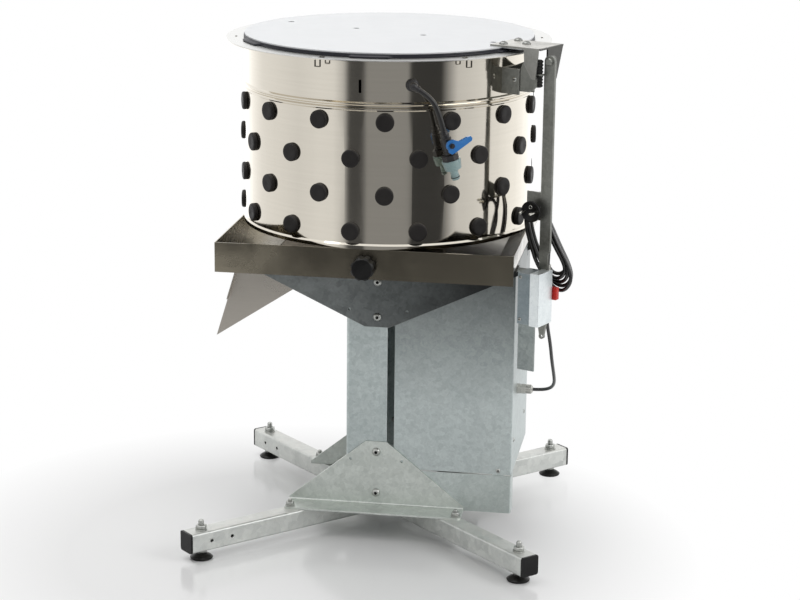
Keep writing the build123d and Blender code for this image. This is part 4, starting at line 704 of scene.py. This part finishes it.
WEB_BOLT_HEIGHTS = (76.0, 152.0, 399.0, 462.0)
FLANGE_BOLTS = (148.0, 137.0)
GUSSET_Y = 100.0
FLANGE_TOP = TUBE_TOP + 3.0
HANGER_BOLT = (222.0, -125.0, 499.0)
LID_BOLTS = ((243.0, -24.5), (243.0, 24.5), (273.0, 0.0))
BRACKET_TOP = 886.4
FRONT_SCREW = (217.0, -97.0, 130.0)
CASING_SIDE = 240.0
SIDE_SCREWS = ((-70.0, 180.0), (100.0, 180.0), (100.0, 420.0), (-15.0, 300.0))
SUPPORT_SCREW = (272.0, -35.0, 831.0)
BOX_FACE = (306.0, -57.8)
BOX_SCREW_HEIGHTS = (430.0, 503.0)


def make_plate_bolts():
    """Round-headed screws through the four plates, and the bolts that hold the base's flanges."""
    mesh = bmesh.new()
    for height in WEB_BOLT_HEIGHTS:
        for side in (-1, 1):
            place = aim_z(machine_point(0.0, side * GUSSET_Y, height), (0, side, 0))
            add_button_screw(mesh, place, PLATE_SCREW)
    for x in (-FLANGE_BOLTS[0], FLANGE_BOLTS[0]):
        for y in (-FLANGE_BOLTS[1], FLANGE_BOLTS[1]):
            add_flange_bolt(mesh, aim_z(machine_point(x, y, FLANGE_TOP), (0, 0, 1)))
    add_button_screw(mesh, aim_z(machine_point(*HANGER_BOLT), (0, 0, -1)), SHORT_PLATE_SCREW)
    make_piece("plate_bolts", mesh, ["zinc_screws", "socket_painted_shade"], "frame", "gusset_bolts")


def make_cover_screws():
    """Small screws: one in the casing's seam, four in its side, one in the hinge support, two in the box."""
    mesh = bmesh.new()
    across = hinge_point(0.0, -1.0, 0.0)
    places = [aim_z(machine_point(*FRONT_SCREW), (0, -1, 0))]
    places += [aim_z(machine_point(CASING_SIDE, y, z), (1, 0, 0)) for y, z in SIDE_SCREWS]
    places += [aim_z(hinge_point(*SUPPORT_SCREW), across)]
    for place in places:
        add_button_screw(mesh, place, SHEET_SCREW)
    for height in BOX_SCREW_HEIGHTS:
        add_button_screw(mesh, aim_z(hinge_point(*BOX_FACE, height), across), BOX_SCREW)
    make_piece("sheet_screws", mesh, ["zinc_screws", "socket_painted_shade"], "frame", "cover_screws")


def make_lid_bolts():
    """Three screws through the hinge bracket's top plate."""
    mesh = bmesh.new()
    for rho, tau in LID_BOLTS:
        add_button_screw(mesh, aim_z(hinge_point(rho, tau, BRACKET_TOP), (0, 0, 1)), LID_SCREW)
    make_piece("lid_bolts", mesh, ["dull_screws", "socket_painted_shade"], "lid", "lid_bracket_bolts")


SEAL_LOW = DRUM_TOP + 0.3
SEAL_HIGH = 881.4
LUG_TOP = 878.3
SEAL_INSIDE = 238.0
SEAL_EDGE = 251.0
LUG_EDGE = 258.5
FIRST_LUG = 32.0
LUGS = 6
LUG_HALF_ANGLE = 8.0
SEAL_STEPS = 360


def make_seal():
    """The rubber ring under the lid's edge, with flat lugs that lie on the drum's rim."""
    mesh = bmesh.new()
    between = 360.0 / LUGS
    loops = []
    for step in range(SEAL_STEPS):
        azimuth = 360.0 * step / SEAL_STEPS - 180.0
        off = abs((azimuth - FIRST_LUG + between / 2) % between - between / 2)
        reach = LUG_EDGE if off < LUG_HALF_ANGLE else SEAL_EDGE + 0.2
        section = [(SEAL_INSIDE, SEAL_LOW), (reach - 0.8, SEAL_LOW), (reach, SEAL_LOW + 0.8),
                   (reach, LUG_TOP - 0.6), (reach - 0.6, LUG_TOP), (SEAL_EDGE, LUG_TOP),
                   (SEAL_EDGE - 0.2, SEAL_HIGH - 0.7), (SEAL_EDGE - 0.9, SEAL_HIGH), (SEAL_INSIDE, SEAL_HIGH)]
        loops.append([mesh.verts.new(drum_point(azimuth, radius, z)) for radius, z in section])
    for step, loop in enumerate(loops):
        after = loops[(step + 1) % SEAL_STEPS]
        for k in range(len(loop)):
            n = (k + 1) % len(loop)
            mesh.faces.new((loop[k], after[k], after[n], loop[n])).smooth = True
    make_piece("lid_edge_seal", mesh, ["seal_rubber"], "lid", "lid_seal")


FOOT_RADIUS = 20.0
STUD_SEAT = 4.0
STUD_TOP = 70.0
STUD_RADIUS = 4.9
STUD_BORE = 5.2
FOOT_NUT = 8.5
FOOT_WASHER = 10.5
UNDER_NUT = (11.0, TUBE_Z)
OVER_NUT = (53.8, 60.8)


def make_feet():
    """Four levelling feet: a moulded disc and its threaded stud, with two nuts and a washer on each."""
    pad = [(0.0, 0.0), (0.0, FOOT_RADIUS - 4.0), (0.4, FOOT_RADIUS - 1.0), (2.5, FOOT_RADIUS),
           (3.4, FOOT_RADIUS - 0.8), (6.5, 15.0), (8.2, 10.4), (9.5, 8.9), (9.5, 4.8), (STUD_SEAT, 4.8),
           (STUD_SEAT, 0.0)]
    thread = thread_rings(STUD_RADIUS, 4.5, STUD_TOP - 2.0, 1.5)
    stud = [(STUD_SEAT, 0.0), (STUD_SEAT, 4.3)] + thread + [(STUD_TOP, 3.7), (STUD_TOP, 0.0)]
    bores = (STUD_BORE, STUD_BORE)
    nuts = bmesh.new()
    for name, angle in ARM_ANGLES.items():
        mesh = bmesh.new()
        place = aim_z(drum_point(angle, FOOT_REACH, 0.0), (0, 0, 1))
        turn_on(mesh, pad, place, sides=48)
        turn_on(mesh, stud, place, material=1)
        foot = "foot_" + name
        make_piece("levelling_" + foot, mesh, ["black_plastic", "zinc_screws"], foot, foot)
        turn_on(nuts, nut_rings(FOOT_NUT, bores, *UNDER_NUT, (0.8, 0.8), 0.97), place)
        turn_on(nuts, washer_rings(STUD_BORE, FOOT_WASHER, TUBE_TOP), place, sides=32)
        turn_on(nuts, nut_rings(FOOT_NUT, bores, *OVER_NUT, (0.9, 0.8), 0.94), place)
    make_piece("foot_lock_nuts", nuts, ["zinc_screws"], "frame", "foot_nuts")


# Valve and coupling under the hose

OUTLET_AZIMUTH = -72.0
OUTLET_Z = 831.4
OUTLET_ELBOW = 266.0
HOSE_BEND = drum_point(-65.4, 271.0, 811.3)
VALVE_TOP = drum_point(-61.53, 274.0, 758.2)
VALVE_END = drum_point(-56.61, 274.0, 676.5)
GRIP_TOP = 50.0
GRIP_RADIUS = 16.0
GRIP_RIBS = 5
GRIP_RIB_PITCH = 2.8
NOSE_RADIUS = 7.2
NOSE_END = 85.0


def make_coupling():
    """The quick coupling: a grip with rounded ribs, a waist, and a nose with its seal."""
    place = aim_z(VALVE_TOP, VALVE_END - VALVE_TOP)
    grip = [(GRIP_TOP, 0.0), (GRIP_TOP, GRIP_RADIUS - 1.0), (GRIP_TOP + 0.6, GRIP_RADIUS)]
    for rib in range(GRIP_RIBS):
        base = GRIP_TOP + 2.0 + rib * GRIP_RIB_PITCH
        reach = GRIP_RADIUS - 0.1 - rib * 0.45
        grip += [(base, reach - 0.6), (base + 0.7, reach), (base + 1.9, reach), (base + 2.6, reach - 0.6)]
    waist = [(66.4, 13.8), (67.0, 12.6), (68.0, 6.9), (78.3, 6.6)]
    nose = [(78.5, NOSE_RADIUS), (82.8, NOSE_RADIUS), (83.5, 6.1), (NOSE_END, 6.0), (NOSE_END, 4.2),
            (79.0, 4.0), (79.0, 0.0)]
    grip += waist + nose
    mesh = bmesh.new()
    turn_on(mesh, grip, place, sides=36)
    turn_on(mesh, [(79.6, 7.0), (80.0, 7.55), (81.2, 7.55), (81.6, 7.0)], place, sides=36, material=1)
    return make_piece("hose_coupling", mesh, ["connector_teal", "black_rubber"], "frame", "hose_connector")


# Cords and hose

SPLINE_STEPS = 16


def route_curve(name, points):
    """A curve of one open smooth spline, with a cord's route as its control points."""
    data = bpy.data.curves.new(name, "CURVE")
    data.dimensions = "3D"
    data.resolution_u = SPLINE_STEPS
    spline = data.splines.new("NURBS")
    spline.points.add(len(points) - 1)
    for knot, point in zip(spline.points, points):
        knot.co = (*point, 1.0)
    spline.order_u = 3
    spline.use_endpoint_u = True
    return data


def cord_curve(name, points, diameter, finish):
    """A cord or hose: its route's curve with a round bevel, riding on the frame."""
    data = route_curve(name, points)
    data.bevel_depth = diameter / 2
    data.bevel_resolution = 6
    data.use_fill_caps = True
    data.materials.append(FINISHES[finish])
    piece = bpy.data.objects.new(name, data)
    bpy.context.scene.collection.objects.link(piece)
    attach(piece, "frame")
    return piece


def spline_points(name, points):
    """Points along the smooth line of a route, read from a curve with no bevel."""
    data = route_curve(name, points)
    holder = bpy.data.objects.new(name, data)
    line = bpy.data.meshes.new_from_object(holder)
    found = [vertex.co.copy() for vertex in line.vertices]
    bpy.data.objects.remove(holder)
    bpy.data.curves.remove(data)
    bpy.data.meshes.remove(line)
    return found


def route_length(points):
    """The length of a line of points."""
    return sum((after - before).length for before, after in zip(points, points[1:]))


# From the switch down to the gland on the casing's side
MOTOR_LEAD_ROUTE = [
    hinge_point(328.5, -5.25, 446),
    hinge_point(328.5, -5.25, 422),
    Vector((0.3045, -0.122, 0.374)),
    Vector((0.3065, -0.104, 0.338)),
    Vector((0.3085, -0.082, 0.309)),
    Vector((0.3085, -0.060, 0.286)),
    Vector((0.3015, -0.042, 0.271)),
    Vector((0.285, -0.031, 0.263)),
    Vector((0.268, -0.031, 0.263)),
]

# From the switch up to the wound lead
MAINS_LEAD_ROUTE = [
    hinge_point(328.5, -5.25, 508),
    hinge_point(328.5, -5.25, 528),
    hinge_point(326.5, 1, 548),
    hinge_point(320, 9, 566),
]

# One turn of the wound lead, over the hook, down its left side and up its right side again:
# where its outermost and its innermost turn pass each station, as (rho, z)
HANK_STATIONS = (
    ((310.8, 601.0), (307.8, 600.0)), ((309.6, 615.0), (307.0, 614.0)), ((304.8, 625.5), (304.0, 623.0)),
    ((296.5, 630.6), (296.5, 627.0)), ((285.5, 627.5), (286.5, 624.5)), ((278.8, 614.0), (281.0, 612.0)),
    ((273.4, 597.0), (277.5, 596.0)), ((275.6, 568.0), (282.5, 566.0)), ((285.5, 541.0), (292.0, 541.0)),
    ((297.0, 515.0), (304.5, 523.0)), ((315.5, 489.0), (315.5, 507.0)), ((334.0, 474.0), (325.0, 498.0)),
    ((351.5, 474.0), (337.5, 497.0)), ((363.5, 490.5), (347.5, 504.5)), ((359.0, 514.0), (348.0, 518.0)),
    ((339.0, 545.0), (329.0, 547.0)), ((321.5, 576.0), (313.0, 574.0)),
)
FIRST_FOOT_STATION = 7

# Each turn's share from innermost to outermost at its foot and at its crown, and its place across the hook
HANK_TURNS = ((0.25, 0.9, 12.0), (0.85, 0.5, 20.5), (0.55, 0.75, 16.2), (0.0, 0.6, 20.8), (1.1, 1.0, 12.0))
HANK_SWAY = 1.2

# From the last turn out to the plug
PLUG_LEAD_ROUTE = [
    hinge_point(315.0, 11.0, 588.0),
    hinge_point(311.5, 7.0, 599.5),
    hinge_point(310.0, -0.5, 608.5),
    hinge_point(310.0, -10.0, 612.0),
    hinge_point(310.0, -17.0, 612.0),
]
PLUG_RHO = 310.0
PLUG_TAU = -38.0
PLUG_Z = 612.0


def wound_lead():
    """The mains lead's whole route: up from the switch, round the hook in uneven turns, out to its plug."""
    points = list(MAINS_LEAD_ROUTE)
    for foot, crown, tau in HANK_TURNS:
        for index, (outermost, innermost) in enumerate(HANK_STATIONS):
            share = crown if index < FIRST_FOOT_STATION else foot
            rho, z = (inner + (outer - inner) * share for outer, inner in zip(outermost, innermost))
            points.append(hinge_point(rho, tau + HANK_SWAY * sin(2.0 * index + tau), z))
    return points + PLUG_LEAD_ROUTE


SLEEVE_SIDES = 20
SLEEVE_GROOVE = 0.35


def tapered_sleeve(mesh, line, thick, thin, ribs):
    """A moulded strain relief along a cord's own line, thick at its first point, with shallow grooves."""
    total = route_length(line)
    loops = []
    for index, point in enumerate(line):
        share = route_length(line[:index + 1]) / total
        ahead = line[min(index + 1, len(line) - 1)] - line[max(index - 1, 0)]
        radius = thick + (thin - thick) * share - SLEEVE_GROOVE * max(0.0, sin(2 * pi * ribs * share))
        place = aim_z(point, ahead)
        turns = [2 * pi * side / SLEEVE_SIDES for side in range(SLEEVE_SIDES)]
        outline = [Vector((radius * cos(turn), radius * sin(turn), 0.0)) for turn in turns]
        loops.append([mesh.verts.new(place @ corner) for corner in outline])
    for low, high in zip(loops, loops[1:]):
        for side in range(SLEEVE_SIDES):
            after = (side + 1) % SLEEVE_SIDES
            mesh.faces.new((low[side], low[after], high[after], high[side])).smooth = True


def first_stretch(line, reach):
    """The first part of a line, up to a length in metres, in even steps of about a millimetre."""
    kept = [line[0]]
    for before, after in zip(line, line[1:]):
        if route_length(kept) > reach:
            break
        pieces = max(1, int((after - before).length / 0.001))
        kept += [before.lerp(after, (k + 1) / pieces) for k in range(pieces)]
    return kept


PLUG_RADIUS = 18.0
PLUG_LENGTH = 22.0
PLUG_GRIP_RINGS = 4
PIN_OFFSET = 9.5
PIN_LENGTH = 19.0
PIN_RADIUS = 2.4
EARTH_OFFSET = 8.0
RELIEF_LENGTH = 0.024


def make_plug(lead_line):
    """A round moulded plug: its face with two pins and an earth socket drawn as a disc of painted shade, grip
    rings, and a strain relief.
    """
    back = hinge_point(0.0, 1.0, 0.0)
    body = [(0.6, 0.0), (0.6, 15.4), (0.0, 16.0), (0.0, PLUG_RADIUS - 0.6), (0.7, PLUG_RADIUS),
            (5.4, PLUG_RADIUS), (6.0, PLUG_RADIUS - 0.4), (7.2, 15.8)]
    for ring in range(PLUG_GRIP_RINGS):
        base = 7.6 + ring * 1.9
        reach = 15.2 - ring * 2.2
        body += [(base, reach - 0.9), (base + 0.6, reach), (base + 1.2, reach - 0.2),
                 (base + 1.7, reach - 1.6)]
    body += [(16.4, 5.6), (20.0, 4.9), (PLUG_LENGTH, 4.6), (PLUG_LENGTH, 0.0)]
    mesh = bmesh.new()
    turn_on(mesh, body, aim_z(hinge_point(PLUG_RHO, PLUG_TAU, PLUG_Z), back), sides=40)
    pin = [(-PIN_LENGTH, 0.0), (-PIN_LENGTH, 1.3), (-18.2, 2.1), (-17.0, PIN_RADIUS), (1.0, PIN_RADIUS)]
    for offset in (-PIN_OFFSET, PIN_OFFSET):
        turn_on(mesh, pin, aim_z(hinge_point(PLUG_RHO + offset, PLUG_TAU, PLUG_Z), back), material=1)
    earth = aim_z(hinge_point(PLUG_RHO, PLUG_TAU, PLUG_Z + EARTH_OFFSET), back)
    # The earth hole is a flat black disc: painted shade where the hole is.
    turn_on(mesh, [(0.5, 0.0), (0.5, PIN_RADIUS)], earth, material=2)
    turn_on(mesh, [(0.45, PIN_RADIUS), (0.1, 2.5), (0.1, 3.1), (0.6, 3.2)], earth, material=1)
    tapered_sleeve(mesh, first_stretch(lead_line[::-1], RELIEF_LENGTH), 4.6, 3.5, 5)
    finishes = ["black_plastic", "plug_pins", "socket_painted_shade"]
    return make_piece("moulded_plug", mesh, finishes, "frame", "mains_plug")


def make_mains_lead():
    """The mains lead from the switch, wound on the hook, with its plug."""
    route = wound_lead()
    line = spline_points("mains_lead_line", route)
    lead = cord_curve("mains_lead", route, MAINS_LEAD, "cable_skin")
    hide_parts("mains_cord", "cord_hank")
    plug = make_plug(line)


def make_motor_lead():
    """The short lead from the switch to the gland on the casing."""
    lead = cord_curve("motor_lead", MOTOR_LEAD_ROUTE, MOTOR_LEAD, "cable_skin")
    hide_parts("motor_cable")
    length = route_length(spline_points("motor_lead_line", MOTOR_LEAD_ROUTE))


OUTLET_SPIGOT = 6.4
OUTLET_FLANGE = 10.8
OUTLET_NUT = 8.4


def make_outlet(knee, downwards):
    """The elbow in the drum's wall: a flanged nut, a bend, and a barb that the hose is pushed over."""
    out = drum_point(OUTLET_AZIMUTH, 1.0, 0.0)
    wall = aim_z(drum_point(OUTLET_AZIMUTH, DRUM_RADIUS, OUTLET_Z), out)
    mesh = bmesh.new()
    turn_on(mesh, [(-9.0, 0.0), (-9.0, OUTLET_SPIGOT), (0.2, OUTLET_SPIGOT), (0.2, OUTLET_FLANGE),
                   (1.6, OUTLET_FLANGE), (2.2, 8.6), (2.2, OUTLET_NUT, 6), (6.6, OUTLET_NUT, 6), (7.2, 7.9),
                   (7.2, 6.6), (14.0, OUTLET_SPIGOT), (14.0, 0.0)], wall)
    ball = [(-7.0, 0.0), (-6.4, 2.9), (-4.9, 5.0), (-2.7, 6.5), (0.0, 7.0), (2.7, 6.5), (4.9, 5.4)]
    barb = [(6.0, 5.3), (7.5, 6.0), (9.6, 6.0), (10.4, 5.0), (10.4, 0.0)]
    turn_on(mesh, ball + barb, aim_z(knee, downwards))
    make_piece("hose_elbow", mesh, ["valve_skin"], "frame", "hose_outlet")


def make_hose(coupling):
    """The water hose from the elbow in the drum's wall down to the valve's barb."""
    knee = drum_point(OUTLET_AZIMUTH, OUTLET_ELBOW, OUTLET_Z)
    from_elbow = HOSE_BEND - knee
    down_valve = (VALVE_END - VALVE_TOP).normalized()
    route = [knee + from_elbow.normalized() * 0.010, HOSE_BEND, VALVE_TOP - down_valve * 0.024, VALVE_TOP]
    make_outlet(knee, from_elbow)
    hose = cord_curve("water_hose", route, HOSE, "hose_skin")
    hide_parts("spray_hose")
    route_length(spline_points("water_hose_line", route))


make_mains_lead()
make_motor_lead()
make_hose(make_coupling())
make_drum_fingers()
make_floor_fingers()
make_plate_bolts()
make_cover_screws()
make_lid_bolts()
make_seal()
make_feet()


# Floor, world and lamps

FLOOR_RADIUS = 1.75
FLOOR_SIDES = 96
WHITE_CENTRE = (-0.12, -0.2, 0.0)
WHITE_FROM = 0.4
WHITE_TO = 0.7

# How bright the studio is round the machine, by azimuth: dark flags in front, white sheets at the back
STEEL_ROOM = (
    (-180.0, 1.0), (-156.0, 0.9), (-136.0, 0.97), (-124.0, 0.95), (-116.0, 0.62), (-112.0, 0.08),
    (-100.0, 0.08), (-98.0, 0.32), (-66.0, 0.32), (-63.0, 0.05), (-39.0, 0.05), (-25.0, 0.75), (-7.0, 0.87),
    (26.0, 1.15), (57.0, 1.4), (99.0, 1.6), (130.0, 1.5), (160.0, 1.06), (180.0, 1.0),
)
ROOM_TOP = 1.15
ROOM_PEAK = 1.6
EVEN_LIGHT = (0.45, 0.45, 0.45, 1.0)
WHITE = (1.0, 1.0, 1.0, 1.0)


def make_floor():
    """A glossy round sheet that keeps the machine's shadow and a weak reflection, plain white further out."""
    mesh = bpy.data.meshes.new("studio_floor")
    turns = [2 * pi * side / FLOOR_SIDES for side in range(FLOOR_SIDES)]
    rim = [(FLOOR_RADIUS * cos(turn), FLOOR_RADIUS * sin(turn), 0.0) for turn in turns]
    mesh.from_pydata(rim, [], [list(range(FLOOR_SIDES))])
    floor = bpy.data.objects.new("studio_floor", mesh)
    bpy.context.scene.collection.objects.link(floor)
    tree, shader = new_material("floor_sheet")
    shader["Base Color"].default_value = (0.93, 0.93, 0.93, 1.0)
    shader["Roughness"].default_value = 0.16
    reach = add(tree, "ShaderNodeVectorMath", {0: own_place(tree), 1: WHITE_CENTRE}, operation="DISTANCE")
    away = spread(tree, reach.outputs["Value"], WHITE_FROM, WHITE_TO, 0.0, 1.0)
    white = add(tree, "ShaderNodeEmission", {"Color": WHITE, "Strength": 1.0})
    mix = add(tree, "ShaderNodeMixShader", {0: away, 2: white.outputs[0]})
    principled = next(node for node in tree.nodes if node.type == "BSDF_PRINCIPLED")
    output = next(node for node in tree.nodes if node.type == "OUTPUT_MATERIAL")
    tree.links.new(principled.outputs[0], mix.inputs[1])
    tree.links.new(mix.outputs[0], output.inputs["Surface"])
    mesh.materials.append(FINISHES["floor_sheet"])


def make_world():
    """White behind the machine; for polished metal, the studio round it with its darker front."""
    world = bpy.data.worlds.new("studio")
    bpy.context.scene.world = world
    world.use_nodes = True
    tree = world.node_tree
    tree.nodes.clear()
    heading = tree.nodes.new("ShaderNodeTexCoord").outputs["Generated"]
    parts = add(tree, "ShaderNodeSeparateXYZ", {"Vector": heading}).outputs
    turn = maths(tree, "ARCTAN2", parts["Y"], parts["X"])
    ramp = tree.nodes.new("ShaderNodeValToRGB")
    tree.links.new(spread(tree, turn, -pi, pi, 0.0, 1.0), ramp.inputs[0])
    stops = ramp.color_ramp.elements
    for index, (azimuth, level) in enumerate(STEEL_ROOM):
        place = (azimuth + 180.0) / 360.0
        share = level / ROOM_PEAK
        stop = stops[index] if index < 2 else stops.new(place)
        stop.position = place
        stop.color = (share, share, share, 1.0)
    around = add(tree, "ShaderNodeVectorMath", {0: ramp.outputs[0], "Scale": ROOM_PEAK}, operation="SCALE")
    above = spread(tree, parts["Z"], 0.05, 0.45, 0.0, 1.0)
    room = blend_colours(tree, above, around.outputs[0], (ROOM_TOP, ROOM_TOP, ROOM_TOP, 1.0))
    path = tree.nodes.new("ShaderNodeLightPath").outputs
    seen = maths(tree, "MAXIMUM", path["Is Camera Ray"], path["Is Transmission Ray"])
    even = blend_colours(tree, path["Is Glossy Ray"], EVEN_LIGHT, room)
    shown = blend_colours(tree, seen, even, WHITE)
    background = add(tree, "ShaderNodeBackground", {"Color": shown, "Strength": 1.0})
    output = tree.nodes.new("ShaderNodeOutputWorld")
    tree.links.new(background.outputs[0], output.inputs["Surface"])


def soft_lamp(name, place, aim, size, power):
    """A square soft lamp turned towards a point."""
    data = bpy.data.lights.new(name, "AREA")
    data.shape = "SQUARE"
    data.size = size
    data.energy = power
    lamp = bpy.data.objects.new(name, data)
    lamp.location = place
    lamp.rotation_euler = (Vector(aim) - Vector(place)).to_track_quat("-Z", "Y").to_euler()
    lamp.visible_camera = False
    bpy.context.scene.collection.objects.link(lamp)


# Each lamp's place, the point that it is turned to, its side and its power
LAMPS = {
    "softbox_right": ((2.4, -0.9, 1.7), (0.0, 0.0, 0.5), 1.5, 20.0),
    "softbox_top": ((-0.6, -0.1, 2.9), (0.0, 0.0, 0.4), 2.0, 28.0),
}

make_floor()
make_world()
for lamp_name, lamp_values in LAMPS.items():
    soft_lamp(lamp_name, *lamp_values)

bpy.context.scene.view_settings.view_transform = "Standard"
